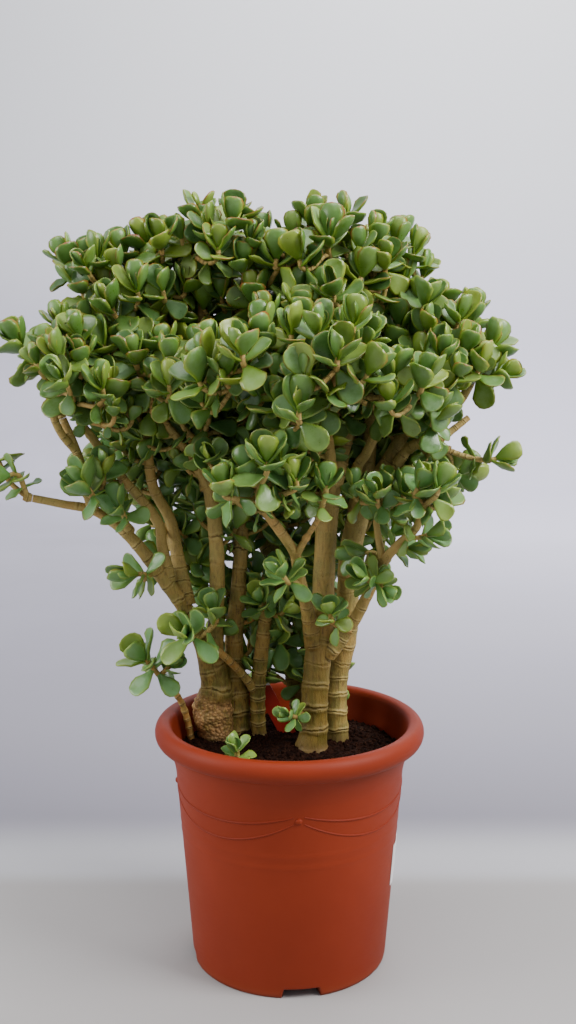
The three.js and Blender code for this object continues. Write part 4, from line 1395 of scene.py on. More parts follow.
@dataclass(frozen=True)
class BarkFinish:
    """The succulent bark: tan and olive on the trunks, orange-brown on the twigs, with ring scars.

    Args:
        tan, olive, pale: the colours of the trunks' patches and streaks; pale also paints highlights on the
            streaks' ridges and the scars' lips, and painted light higher up.
        twig, shoot: the colours of the twigs.
        ring: the colour of scars and specks, and of the painted shade in cracks, in the scars' grooves and
            between the warts.
        moss: the colour of the damp wood low on the front trunk.
        twig_girth, trunk_girth: the radii between which twigs turn into trunks.
        damp_side, dry_side: the X over which the wood turns damp, and over which it turns paler again.
        damp_top, painted_light_foot: the heights over which the damp ends and the painted light on the wood
            above begins.
        soil_line: the heights over which the soil's stain ends.
    """

    tan: Colour = (0.310, 0.205, 0.040)
    olive: Colour = (0.125, 0.118, 0.014)
    pale: Colour = (0.500, 0.380, 0.130)
    twig: Colour = (0.440, 0.220, 0.052)
    shoot: Colour = (0.300, 0.250, 0.060)
    ring: Colour = (0.085, 0.046, 0.014)
    moss: Colour = (0.105, 0.062, 0.004)
    wart: Colour = (0.660, 0.350, 0.130)
    twig_girth: float = 0.0042
    trunk_girth: float = 0.0095
    damp_side: Pair = (-0.002, 0.010)
    dry_side: Pair = (0.044, 0.056)
    damp_top: Pair = (0.38, 0.48)
    painted_light_foot: Pair = (0.40, 0.52)
    soil_line: Pair = (0.262, 0.282)

    def make(self) -> bpy.types.Material:
        """Builds the material."""
        finish = Finish(Slot.BARK.value, roughness=0.62, specular=0.35)
        girth = finish.attribute("girth")
        phase = finish.attribute("phase")
        streaks = finish.noise(finish.stretched(finish.place, (1.0, 1.0, 0.22)), 400.0, 4.0, 0.65)
        patches = finish.noise(finish.stretched(finish.place, (1.0, 1.0, 0.45)), 85.0, 3.0)
        blotch = finish.noise(finish.place, 30.0, 3.0)
        aside, _, height = finish.split(finish.place)
        low, uneven = finish.rings(finish.place, 1.0)
        grain = finish.noise(finish.place, 900.0, 2.0)
        thick = girth.smooth(self.twig_girth, self.trunk_girth)
        warty = girth.smooth(*WARTY_GIRTH)
        base = finish.mix((patches + (streaks - 0.5) * 0.4).smooth(0.38, 0.60), self.tan, self.olive)
        # Pale on the streaks' ridges: the bark's own paler streaks, partly a painted highlight.
        base = finish.mix((streaks + (grain - 0.5) * 0.4).smooth(0.50, 0.70) * 0.35, base, self.pale)
        base = finish.mix((1 - low) * 0.4, base, self.shoot)
        base = finish.mix((1 - low) * blotch.smooth(0.42, 0.58) * 0.45, base, self.twig)
        # Dark in the streaks' hollows: cracks, partly painted shade.
        base = finish.mix((1 - (streaks + (grain - 0.5) * 0.25).smooth(0.34, 0.50)) * 0.8, base, self.ring)
        young = finish.mix(blotch.smooth(0.34, 0.62) * 0.75, self.twig, self.shoot)
        # On the twigs too, the pale on the ridges is partly a painted highlight.
        young = finish.mix((streaks + (grain - 0.5) * 0.4).smooth(0.50, 0.72) * 0.6, young, self.pale)
        base = finish.mix(thick, young, base)
        wobble = (phase + (blotch - 0.5) * 0.7 + (streaks - 0.5) * 0.08).fraction()
        scar = abs(wobble - 0.5) * 2
        lip = scar.smooth(0.55, 0.82) * (1 - scar.smooth(0.86, 0.94)) * (0.25 + 0.75 * uneven)
        line = scar.smooth(0.91, 0.98) * uneven * (0.25 + 0.75 * patches.smooth(0.40, 0.56))
        # Paler to the right, and painted light on the wood above the trunks' foot, standing in for the light
        # that reaches it inside the crown.
        right = aside.smooth(*self.dry_side)
        paler_right_and_painted_light = right * 0.30 + height.smooth(*self.painted_light_foot) * 0.55
        base = finish.mix(paler_right_and_painted_light * (0.4 + 0.6 * patches), base, self.pale)
        # Painted highlight on the ring scars' raised lips.
        base = finish.mix(lip * 0.5, base, self.pale)
        damp = aside.smooth(*self.damp_side) * (1 - right) * (1 - height.smooth(*self.damp_top))
        base = finish.mix(damp * (0.4 + 0.5 * blotch), base, self.moss)
        # Painted shade in the scars' grooves, over the scars' own darker colour.
        base = finish.mix(line * 0.6, base, self.ring)
        cells = finish.node("ShaderNodeTexVoronoi", {}, {"Vector": finish.place, "Scale": 260.0})
        knobs = Value(finish, cells.outputs["Distance"])
        base = finish.mix(warty * patches.smooth(0.35, 0.6) * 0.8, base, self.wart)
        # Painted shade in the hollows between the warts.
        base = finish.mix(warty * knobs.smooth(0.28, 0.62) * 0.5, base, self.ring)
        soiled = (1 - height.smooth(*self.soil_line)) * (0.35 + 0.65 * blotch)
        base = finish.mix(soiled * 0.85, base, self.ring)
        speck = (grain * 0.6 + patches * 0.5).smooth(0.60, 0.72)
        finish.colour(finish.mix(speck * 0.5, base, self.ring))
        finish.roughness(0.46 + 0.28 * streaks)
        relief = lip * 0.6 - line * 0.4 + streaks * 0.9 + grain * 0.2
        finish.bump(relief * (1 - 0.6 * warty) - knobs * warty * 1.6, 1.0, 0.0014)
        return finish.material


@dataclass(frozen=True)
class PotFinish:
    """Moulded terracotta-coloured plastic, a little scuffed and dusty at the foot, with painted shade at both
    ends.

    Args:
        foot, waist: the heights where the dust ends and the painted shade of the darker foot ends.
        rim: the heights over which painted shade darkens the pot again.
    """

    name: str = Slot.POT.value
    clay: Colour = (0.243, 0.0275, 0.0066)
    deep: Colour = (0.196, 0.0205, 0.0046)
    dust: Colour = (0.300, 0.075, 0.030)
    foot: float = 0.02
    waist: float = 0.19
    rim: Pair = (0.270, 0.282)

    def make(self) -> bpy.types.Material:
        """Builds the material."""
        finish = Finish(self.name, roughness=0.5, specular=0.2)
        height = finish.split(finish.place)[2]
        cloud = finish.noise(finish.place, 9.0, 4.0)
        grain = finish.noise(finish.place, 900.0, 2.0)
        scuffs = finish.noise(finish.stretched(finish.place, (1.0, 1.0, 6.0)), 60.0, 5.0, 0.7)
        # Painted shade: darker below the waist and at the rim, mixed with the cloud's own uneven tone.
        ends = 1 - height.smooth(self.foot, self.waist) + height.smooth(*self.rim)
        shade = cloud.smooth(0.3, 0.7) * 0.5 + ends * 0.5
        clay = finish.mix(shade, self.clay, self.deep)
        low = (1 - height.smooth(0.0, self.foot)) * 0.3
        dusty = (low + scuffs.smooth(0.62, 0.8) * 0.16).smooth(0.0, 1.0)
        finish.colour(finish.mix(dusty, clay, self.dust))
        finish.roughness(0.43 + 0.12 * cloud + 0.12 * scuffs)
        finish.bump(grain * 0.6 + cloud * 0.4, 0.12, 0.0005)
        return finish.material


@dataclass(frozen=True)
class SoilFinish:
    """Dark crumbly potting soil."""

    dark: Colour = (0.006, 0.002, 0.0012)
    brown: Colour = (0.027, 0.009, 0.0045)
    fibre: Colour = (0.110, 0.050, 0.022)

    def make(self) -> bpy.types.Material:
        """Builds the material."""
        finish = Finish(Slot.SOIL.value, roughness=0.95, specular=0.08)
        lumps = finish.noise(finish.place, 160.0, 5.0, 0.7)
        specks = finish.noise(finish.place, 520.0, 3.0)
        earth = finish.mix(lumps.smooth(0.35, 0.7), self.dark, self.brown)
        finish.colour(finish.mix(specks.smooth(0.64, 0.72) * 0.7, earth, self.fibre))
        finish.bump(lumps * 0.7 + specks * 0.3, 1.0, 0.003)
        return finish.material


@dataclass(frozen=True)
class PlateFinish:
    """A thin printed-over plate without its print: a tag or a label.

    Args:
        name: the material's name.
        face: its colour.
        edge: the colour above a height.
        edge_height: that height.
        shine: its roughness.
    """

    name: str
    face: Colour
    edge: Colour
    edge_height: float
    shine: float

    EDGE_BLUR = 0.001
    WORN = 0.7

    def make(self) -> bpy.types.Material:
        """Builds the material."""
        finish = Finish(self.name, roughness=self.shine)
        height = finish.split(finish.place)[2]
        cloud = finish.noise(finish.place, 45.0, 3.0)
        dull = tuple(part * self.WORN for part in self.face)
        worn = finish.mix(cloud.smooth(0.4, 0.8) * 0.25, self.face, dull)
        band = height.smooth(self.edge_height, self.edge_height + self.EDGE_BLUR)
        finish.colour(finish.mix(band, worn, self.edge))
        finish.roughness(self.shine + 0.15 * cloud)
        finish.bump(cloud, 0.1, 0.0004)
        return finish.material


@dataclass(frozen=True)
class StudioFinish:
    """The pale ground and wall with painted light and shade: a painted band of light behind the pot, painted
    shade beyond it, and painted light that grows with depth, towards the right and up the wall.

    Args:
        floor, band, low, middle: the ground's colours from the pot to the wall's foot; band is painted light,
            low painted shade and middle painted light.
        high: the wall's colour high up, painted light.
        band_start, band_end: over what depth behind the pot the painted band of light starts and ends.
        gain: how much of the middle colour each metre behind the band adds, on the left: painted light
            growing with depth.
        side_gain: how much more painted light it adds on the right.
        side: the half-width over which the left turns into the right.
        rise: the heights between which the wall turns to its high colour, painted light towards its top.
    """

    floor: Colour = (0.330, 0.316, 0.313)
    band: Colour = (0.412, 0.409, 0.434)
    low: Colour = (0.218, 0.209, 0.248)
    middle: Colour = (0.800, 0.780, 0.920)
    high: Colour = (0.905, 0.915, 0.940)
    band_start: Pair = (0.16, 0.22)
    band_end: Pair = (0.25, 0.42)
    gain: float = 0.165
    side_gain: float = 0.200
    side: float = 0.5
    rise: Pair = (0.2, 1.7)

    def make(self) -> bpy.types.Material:
        """Builds the material."""
        finish = Finish("studio", roughness=0.75, specular=0.25)
        aside, depth, height = finish.split(finish.place)
        cloud = finish.noise(finish.place, 1.4, 3.0) - 0.5
        # Painted light and shade: a band of painted light behind the pot, painted shade beyond it, and
        # painted light growing with depth, towards the right and up the wall.
        shade = finish.mix(depth.smooth(*self.band_start), self.floor, self.band)
        shade = finish.mix(depth.smooth(*self.band_end), shade, self.low)
        gain = aside.smooth(-self.side, self.side) * self.side_gain + cloud * 0.1 + self.gain
        shade = finish.mix((depth - self.band_end[1]) * gain, shade, self.middle)
        finish.colour(finish.mix(height.smooth(*self.rise), shade, self.high))
        return finish.material


class GeometryTree(Graph):
    """A Geometry Nodes tree with named inputs."""

    def __init__(self, name: str, inputs: dict[str, str]) -> None:
        """Starts the tree.

        Args:
            name: its name.
            inputs: for each input's name what it holds. Whoever grows the tree gives all of them.
        """
        tree = bpy.data.node_groups.new(name, "GeometryNodeTree")
        tree.is_modifier = True
        super().__init__(tree)
        tree.interface.new_socket("Geometry", in_out="INPUT", socket_type="NodeSocketGeometry")
        for label, kind in inputs.items():
            tree.interface.new_socket(label, in_out="INPUT", socket_type=f"NodeSocket{kind}")
        tree.interface.new_socket("Geometry", in_out="OUTPUT", socket_type="NodeSocketGeometry")
        self.inputs = self.node("NodeGroupInput").outputs

    def named(self, name: str, data_type: str = "FLOAT") -> Socket:
        """The socket of an attribute with its name and what it holds."""
        read = self.node("GeometryNodeInputNamedAttribute", {"data_type": data_type}, {"Name": name})
        return read.outputs["Attribute"]

    def shifted(self, mesh: Socket, height: Value) -> Socket:
        """A mesh moved out along its own normals by a height."""
        step = {0: self.out("GeometryNodeInputNormal"), "Scale": height}
        return self.out("GeometryNodeSetPosition", {}, {
            0: mesh, "Offset": self.out("ShaderNodeVectorMath", {"operation": "SCALE"}, step)})

    def painted(self, geometry: Socket, material: str) -> Socket:
        """Real geometry with the material that the input of a name holds."""
        real = self.out("GeometryNodeRealizeInstances", {}, {0: geometry})
        return self.out("GeometryNodeSetMaterial", {}, {0: real, "Material": self.inputs[material]})

    def joined(self, *parts: Socket) -> Socket:
        """Several geometries as one."""
        join = self.node("GeometryNodeJoinGeometry")
        for part in parts:
            self.tree.links.new(part, join.inputs[0])
        return join.outputs[0]

    def close(self, geometry: Socket) -> None:
        """Links the finished geometry to the tree's result."""
        self.node("NodeGroupOutput", {}, {0: geometry})

    def grown(self, source: bpy.types.Mesh, values: dict[str, object], name: str) -> bpy.types.Mesh:
        """Runs the tree on a mesh and keeps the result as a plain mesh.

        Args:
            source: the mesh to start from.
            values: the tree's inputs by name.
            name: the new mesh's name.

        Returns:
            The plain mesh.
        """
        carrier = bpy.data.objects.new(name + "_source", source)
        bpy.context.scene.collection.objects.link(carrier)
        modifier = carrier.modifiers.new("grow", "NODES")
        modifier.node_group = self.tree
        for item in self.tree.interface.items_tree:
            if item.in_out == "INPUT" and item.name in values:
                modifier[item.identifier] = values[item.name]
        graph = bpy.context.evaluated_depsgraph_get()
        plain = bpy.data.meshes.new_from_object(
            carrier.evaluated_get(graph), preserve_all_data_layers=True, depsgraph=graph)
        plain.name = name
        bpy.data.objects.remove(carrier)
        return plain


BARK_INPUTS = {"Sides": "Int", "Row length": "Float", "Ring height": "Float", "Lumps": "Float",
               "Bark": "Material"}


def bark_tree() -> GeometryTree:
    """Makes the tree that turns sticks into round limbs with ring scars.

    Returns:
        The tree. Its sticks carry their thickness as girth and count their rings as phase.
    """
    tree = GeometryTree("limbs", BARK_INPUTS)
    curve = tree.out("GeometryNodeMeshToCurve", {}, {0: tree.inputs["Geometry"]})
    curve = tree.out("GeometryNodeCurveSplineType", {"spline_type": "CATMULL_ROM"}, {0: curve})
    curve = tree.out("GeometryNodeSetSplineResolution", {}, {0: curve, "Resolution": 10})
    curve = tree.out("GeometryNodeResampleCurve", {"mode": "LENGTH"},
                     {0: curve, "Length": tree.inputs["Row length"]})
    ring = tree.out("GeometryNodeCurvePrimitiveCircle", {"mode": "RADIUS"},
                    {"Resolution": tree.inputs["Sides"], "Radius": 1.0})
    mesh = tree.out("GeometryNodeCurveToMesh", {}, {
        "Curve": curve, "Profile Curve": ring, "Scale": tree.named("girth"), "Fill Caps": True})
    phase = Value(tree, tree.named("phase"))
    girth = Value(tree, tree.named("girth"))
    place = tree.out("GeometryNodeInputPosition")
    lumps = tree.noise(place, 26.0, 2.0) - 0.5
    _, uneven = tree.rings(place, FOOT_RINGS)
    scar = abs((phase + lumps * 0.8).fraction() - 0.5) * 2
    swell = scar.smooth(0.40, 0.86) * (1 - 0.7 * scar.smooth(0.9, 1.0)) * (0.15 + uneven)
    swell *= Value(tree, tree.inputs["Ring height"])
    warts = tree.noise(place, 95.0, 3.0).smooth(0.46, 0.70) * girth.smooth(*WARTY_GIRTH)
    height = girth * (swell + lumps * Value(tree, tree.inputs["Lumps"])) + warts * WART_HEIGHT
    mesh = tree.out("GeometryNodeSetShadeSmooth", {}, {0: tree.shifted(mesh, height)})
    tree.close(tree.painted(mesh, "Bark"))
    return tree


def spray_tree(limbs: GeometryTree) -> GeometryTree:
    """Makes the tree that turns sticks into twigs and loose points into leaves.

    Args:
        limbs: the tree for the twigs.

    Returns:
        The tree. Its points carry whether they are a leaf, and each leaf's turn, size and kind.
    """
    tree = GeometryTree("sprays", {**BARK_INPUTS, "Leaves": "Collection", "Leaf": "Material"})
    split = tree.node("GeometryNodeSeparateGeometry", {"domain": "POINT"},
                      {0: tree.inputs["Geometry"], "Selection": tree.named("is_leaf", "BOOLEAN")})
    passed_on = {name: tree.inputs[name] for name in BARK_INPUTS}
    twigs = tree.out("GeometryNodeGroup", {"node_tree": limbs.tree},
                     {"Geometry": split.outputs[1], **passed_on})
    shapes = tree.out("GeometryNodeCollectionInfo", {}, {
        0: tree.inputs["Leaves"], "Separate Children": True, "Reset Children": True})
    leaves = tree.out("GeometryNodeInstanceOnPoints", {}, {
        "Points": split.outputs[0], "Instance": shapes, "Pick Instance": True,
        "Instance Index": tree.named("kind", "INT"), "Rotation": tree.named("turn", "QUATERNION"),
        "Scale": tree.named("size")})
    tree.close(tree.joined(twigs, tree.painted(leaves, "Leaf")))
    return tree


def crumb_tree() -> GeometryTree:
    """Makes the tree that strews crumbs over the soil.

    Returns:
        The tree.
    """
    tree = GeometryTree("crumbs", {
        "Crumb": "Object", "Density": "Float", "Smallest": "Float", "Largest": "Float", "Soil": "Material"})
    ground = tree.inputs["Geometry"]
    points = tree.out("GeometryNodeDistributePointsOnFaces", {}, {
        "Mesh": ground, "Selection": tree.named("open", "BOOLEAN"), "Density": tree.inputs["Density"],
        "Seed": 7})
    size = tree.node("FunctionNodeRandomValue", {"data_type": "FLOAT"}, {
        "Min": tree.inputs["Smallest"], "Max": tree.inputs["Largest"], "Seed": 3}).outputs["Value"]
    turn = tree.node("FunctionNodeRandomValue", {"data_type": "FLOAT_VECTOR"}, {
        "Min": (0.0, 0.0, 0.0), "Max": (6.3, 6.3, 6.3), "Seed": 5}).outputs["Value"]
    crumb = tree.node("GeometryNodeObjectInfo", {}, {0: tree.inputs["Crumb"]}).outputs["Geometry"]
    crumbs = tree.out("GeometryNodeInstanceOnPoints", {}, {
        "Points": points, "Instance": crumb, "Rotation": turn, "Scale": size})
    tree.close(tree.painted(tree.joined(ground, crumbs), "Soil"))
    return tree


def new_object(name: str, mesh: bpy.types.Mesh) -> bpy.types.Object:
    """Adds an object at the origin.

    Args:
        name: its name.
        mesh: its mesh.

    Returns:
        The object.
    """
    made = bpy.data.objects.new(name, mesh)
    bpy.context.scene.collection.objects.link(made)
    return made


def turned_point(radius: float, angle: float, z: float) -> Point:
    """The point at a radius, at an angle from the front towards the right, and at a height."""
    return radius * math.sin(angle), -radius * math.cos(angle), z


def present(piece: bpy.types.Object, slot: Slot, *nodes: str) -> None:
    """Hangs a finished piece on the root body, hides the solids that it stands for, and reports it.

    Args:
        piece: the piece.
        slot: the record's material slot; not used.
        nodes: the solids that it stands for.
    """
    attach(piece, ROOT)
    if nodes:
        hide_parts(*nodes)
    log.info("%s: %d faces", piece.name, len(piece.data.polygons))


def mesh_of(name: str, shape: bmesh.types.BMesh) -> bpy.types.Mesh:
    """Turns a shape into a mesh and frees it.

    Args:
        name: the mesh's name.
        shape: the shape.

    Returns:
        The mesh.
    """
    mesh = bpy.data.meshes.new(name)
    shape.to_mesh(mesh)
    shape.free()
    return mesh


def mesh_from(name: str, verts: Rows, faces: Sequence[Sequence[int]]) -> bpy.types.Mesh:
    """A smooth mesh from its corners and faces.

    Args:
        name: its name.
        verts: its corners.
        faces: its faces' corners.

    Returns:
        The mesh, with its faces pointing outwards.
    """
    mesh = bpy.data.meshes.new(name)
    mesh.from_pydata([tuple(vert) for vert in verts], [], [tuple(face) for face in faces])
    shape = bmesh.new()
    shape.from_mesh(mesh)
    bmesh.ops.remove_doubles(shape, verts=shape.verts, dist=1e-6)
    bmesh.ops.recalc_face_normals(shape, faces=shape.faces)
    shape.to_mesh(mesh)
    shape.free()
    mesh.polygons.foreach_set("use_smooth", [True] * len(mesh.polygons))
    return mesh


@dataclass(frozen=True)
class LeafShape:
    """One leaf of length 1, from its root at the origin along X, with its upper side to +Z.

    Args:
        half_width: half its greatest width.
        cup: how far its margins are raised.
        curl: how far its tip is raised.
        wave: how far its margins wave.
    """

    half_width: float
    cup: float
    curl: float
    wave: float

    WAVES = 9.5
    WIDEST = 0.6
    # For places along the leaf: the share of its half width, and its thickness.
    STATIONS = ((0.0, 0.19, 0.075), (0.14, 0.33, 0.100), (0.33, 0.63, 0.110), (0.54, 0.92, 0.105),
                (0.74, 1.0, 0.090), (0.90, 0.78, 0.070), (0.975, 0.42, 0.045))
    # For corners round the leaf: the share of the width there, and of the thickness.
    AROUND = ((1.0, 0.0), (0.72, 0.38), (0.0, 0.5), (-0.72, 0.38), (-1.0, 0.0),
              (-0.72, -0.42), (0.0, -0.6), (0.72, -0.42))

    def middle(self, along: float, across: float) -> float:
        """The height of the leaf's middle surface.

        Args:
            along: the share of the length.
            across: from -1 to 1 over the width there.

        Returns:
            The height.
        """
        wave = self.wave * math.sin(along * self.WAVES) * across
        bowl = across ** 2 + 4.0 * max(0.0, along - self.WIDEST) ** 2
        return self.curl * along ** 2 + self.cup * along * bowl + wave

    def mesh(self, name: str) -> bpy.types.Mesh:
        """Builds the leaf.

        Args:
            name: the mesh's name.

        Returns:
            The mesh, with its own place on the blade stored in the attribute blade.
        """
        verts: list[Point] = []
        blade: list[Point] = []
        for along, share, thick in self.STATIONS:
            for across, skin in self.AROUND:
                y = across * share * self.half_width
                verts.append((along, y, self.middle(along, across * share) + skin * thick))
                blade.append((along, across, 1.0 if skin > 0.1 else 0.0 if skin < -0.1 else 0.5))
        verts += [(1.0, 0.0, self.middle(1.0, 0.0)), (-0.01, 0.0, 0.0)]
        blade += [(1.0, 0.0, 0.5), (0.0, 0.0, 0.5)]
        count = len(self.AROUND)
        faces: list[tuple[int, ...]] = []
        for row in range(len(self.STATIONS) - 1):
            for i in range(count):
                j = (i + 1) % count
                faces.append((row * count + i, row * count + j, (row + 1) * count + j, (row + 1) * count + i))
        last = (len(self.STATIONS) - 1) * count
        for i in range(count):
            j = (i + 1) % count
            faces.append((last + i, last + j, last + count))
            faces.append((j, i, last + count + 1))
        mesh = mesh_from(name, verts, faces)
        place = mesh.attributes.new("blade", "FLOAT_VECTOR", "POINT")
        place.data.foreach_set("vector", [part for row in blade for part in row])
        return mesh


class LeafShapes:
    """The collection of leaf shapes that the sprays pick from."""

    KINDS = (
        (LeafShape(0.370, 0.24, 0.10, 0.00), LeafShape(0.395, 0.20, 0.05, 0.01),
         LeafShape(0.345, 0.26, 0.15, 0.00)),
        (LeafShape(0.395, 0.20, 0.03, 0.02), LeafShape(0.415, 0.14, -0.03, 0.04),
         LeafShape(0.370, 0.24, 0.08, 0.01)),
        (LeafShape(0.385, 0.15, -0.14, 0.06), LeafShape(0.355, 0.20, -0.24, 0.04),
         LeafShape(0.405, 0.12, -0.05, 0.07)),
        (LeafShape(0.310, 0.16, -0.16, 0.05), LeafShape(0.335, 0.13, 0.04, 0.04),
         LeafShape(0.285, 0.20, -0.26, 0.03)),
    )

    @classmethod
    def pick(cls, age: float, draw: float, low: bool) -> int:
        """The number of a shape that suits a leaf's age.

        Args:
            age: 0 for the newest leaves and 1 for the oldest.
            draw: a number from 0 to 1.
            low: True for a leaf in the shade at the crown's foot, where old leaves are slender.

        Returns:
            Its place in the collection.
        """
        group = 0 if age < 0.3 else 1 if age < 0.8 else 2
        if low and age > 0.4:
            group = 3
        return group * len(cls.KINDS[0]) + int(draw * len(cls.KINDS[0]))

    def __init__(self) -> None:
        """Builds the shapes."""
        kinds = [kind for group in self.KINDS for kind in group]
        self.collection = bpy.data.collections.new("leaf_shapes")
        for i, kind in enumerate(kinds):
            shape = bpy.data.objects.new(f"leaf_shape_{i}", kind.mesh(f"leaf_shape_{i}"))
            self.collection.objects.link(shape)

    def remove(self) -> None:
        """Takes the shapes away once the sprays are made."""
        for shape in list(self.collection.objects):
            bpy.data.objects.remove(shape)
        bpy.data.collections.remove(self.collection)


class StickMesh:
    """Gathers sticks and leaf points into one mesh with the attributes that the trees read."""

    def __init__(self) -> None:
        """Starts empty."""
        self.verts: list[Vector] = []
        self.edges: list[tuple[int, int]] = []
        self.numbers: dict[str, list[float]] = {"girth": [], "phase": [], "size": []}
        self.kinds: list[int] = []
        self.leafy: list[bool] = []
        self.turns: list[float] = []
        self.tints: list[float] = []

    def _point(self, place: Vector, girth: float, phase: float, leaf: Leaf | None) -> None:
        """Adds a point.

        Args:
            place: where it is.
            girth: a stick's radius there.
            phase: a stick's ring count there.
            leaf: the leaf that it stands for, or None.
        """
        self.verts.append(place)
        self.numbers["girth"].append(girth)
        self.numbers["phase"].append(phase)
        self.numbers["size"].append(leaf.length if leaf else 1.0)
        self.kinds.append(leaf.kind if leaf else 0)
        self.leafy.append(leaf is not None)
        self.turns += list(leaf.rotation()) if leaf else [1.0, 0.0, 0.0, 0.0]
        self.tints += [leaf.tone, leaf.blush, leaf.yellow] if leaf else [0.0, 0.0, 0.0]

    def add_stick(self, stick: Stick, draws: Draws) -> None:
        """Adds a stick.

        Args:
            stick: the stick.
            draws: the stream that shifts its rings.
        """
        phase = draws.next()
        for i, (point, radius) in enumerate(zip(stick.points, stick.radii)):
            if i:
                phase += (point - stick.points[i - 1]).length * stick.knots
                self.edges.append((len(self.verts) - 1, len(self.verts)))
            self._point(point, radius * (stick.flare if i == 0 else 1.0), phase, None)

    def add_leaf(self, leaf: Leaf) -> None:
        """Adds a leaf's point."""
        self._point(leaf.root, 0.0, 0.0, leaf)

    def mesh(self, name: str) -> bpy.types.Mesh:
        """The gathered mesh.

        Args:
            name: its name.

        Returns:
            The mesh.
        """
        mesh = bpy.data.meshes.new(name)
        mesh.from_pydata([tuple(vert) for vert in self.verts], self.edges, [])
        for label, values in self.numbers.items():
            mesh.attributes.new(label, "FLOAT", "POINT").data.foreach_set("value", values)
        mesh.attributes.new("kind", "INT", "POINT").data.foreach_set("value", self.kinds)
        mesh.attributes.new("is_leaf", "BOOLEAN", "POINT").data.foreach_set("value", self.leafy)
        mesh.attributes.new("turn", "QUATERNION", "POINT").data.foreach_set("value", self.turns)
        mesh.attributes.new("tint", "FLOAT_VECTOR", "POINT").data.foreach_set("vector", self.tints)
        return mesh


@dataclass
class Plant:
    """The stems and the sprays, with how finely and how knobbly the trees make the wood of both."""

    trunk_sides: int = 24
    trunk_row: float = 0.0030
    trunk_rings: float = 0.05
    trunk_lumps: float = 0.16
    twig_sides: int = 8
    twig_row: float = 0.0024
    twig_rings: float = 0.1
    twig_lumps: float = 0.1

    STEM_STREAM = 400
    SPRAY_STREAM = 900

    def build(self) -> None:
        """Builds every stem and spray."""
        growth = Growth()
        bark = BarkFinish().make()
        leaf = LeafFinish().make()
        limbs = bark_tree()
        sprays = spray_tree(limbs)
        shapes = LeafShapes()
        for number, (name, sticks) in enumerate(growth.stems.items()):
            gathered = StickMesh()
            draws = Draws(self.STEM_STREAM + number)
            for stick in sticks:
                gathered.add_stick(stick, draws)
            values = {"Sides": self.trunk_sides, "Row length": self.trunk_row,
                      "Ring height": self.trunk_rings, "Lumps": self.trunk_lumps, "Bark": bark}
            mesh = limbs.grown(gathered.mesh(f"sticks_{name}"), values, f"bark_{name}")
            present(new_object(f"bark_{name}", mesh), Slot.BARK, f"stem_{name}")
        leaves = 0
        for number, spray in enumerate(growth.sprays):
            gathered = StickMesh()
            draws = Draws(self.SPRAY_STREAM + number)
            for stick in spray.twigs:
                gathered.add_stick(stick, draws)
            for item in spray.leaves:
                gathered.add_leaf(item)
            leaves += len(spray.leaves)
            values = {"Sides": self.twig_sides, "Row length": self.twig_row, "Ring height": self.twig_rings,
                      "Lumps": self.twig_lumps, "Bark": bark, "Leaves": shapes.collection, "Leaf": leaf}
            mesh = sprays.grown(gathered.mesh(f"points_{spray.name}"), values, f"foliage_{spray.name}")
            present(new_object(f"foliage_{spray.name}", mesh), Slot.LEAF, spray.node())
        shapes.remove()
        log.info("rosettes: %d, leaves: %d", sum(len(spray.buds) for spray in growth.sprays), leaves)


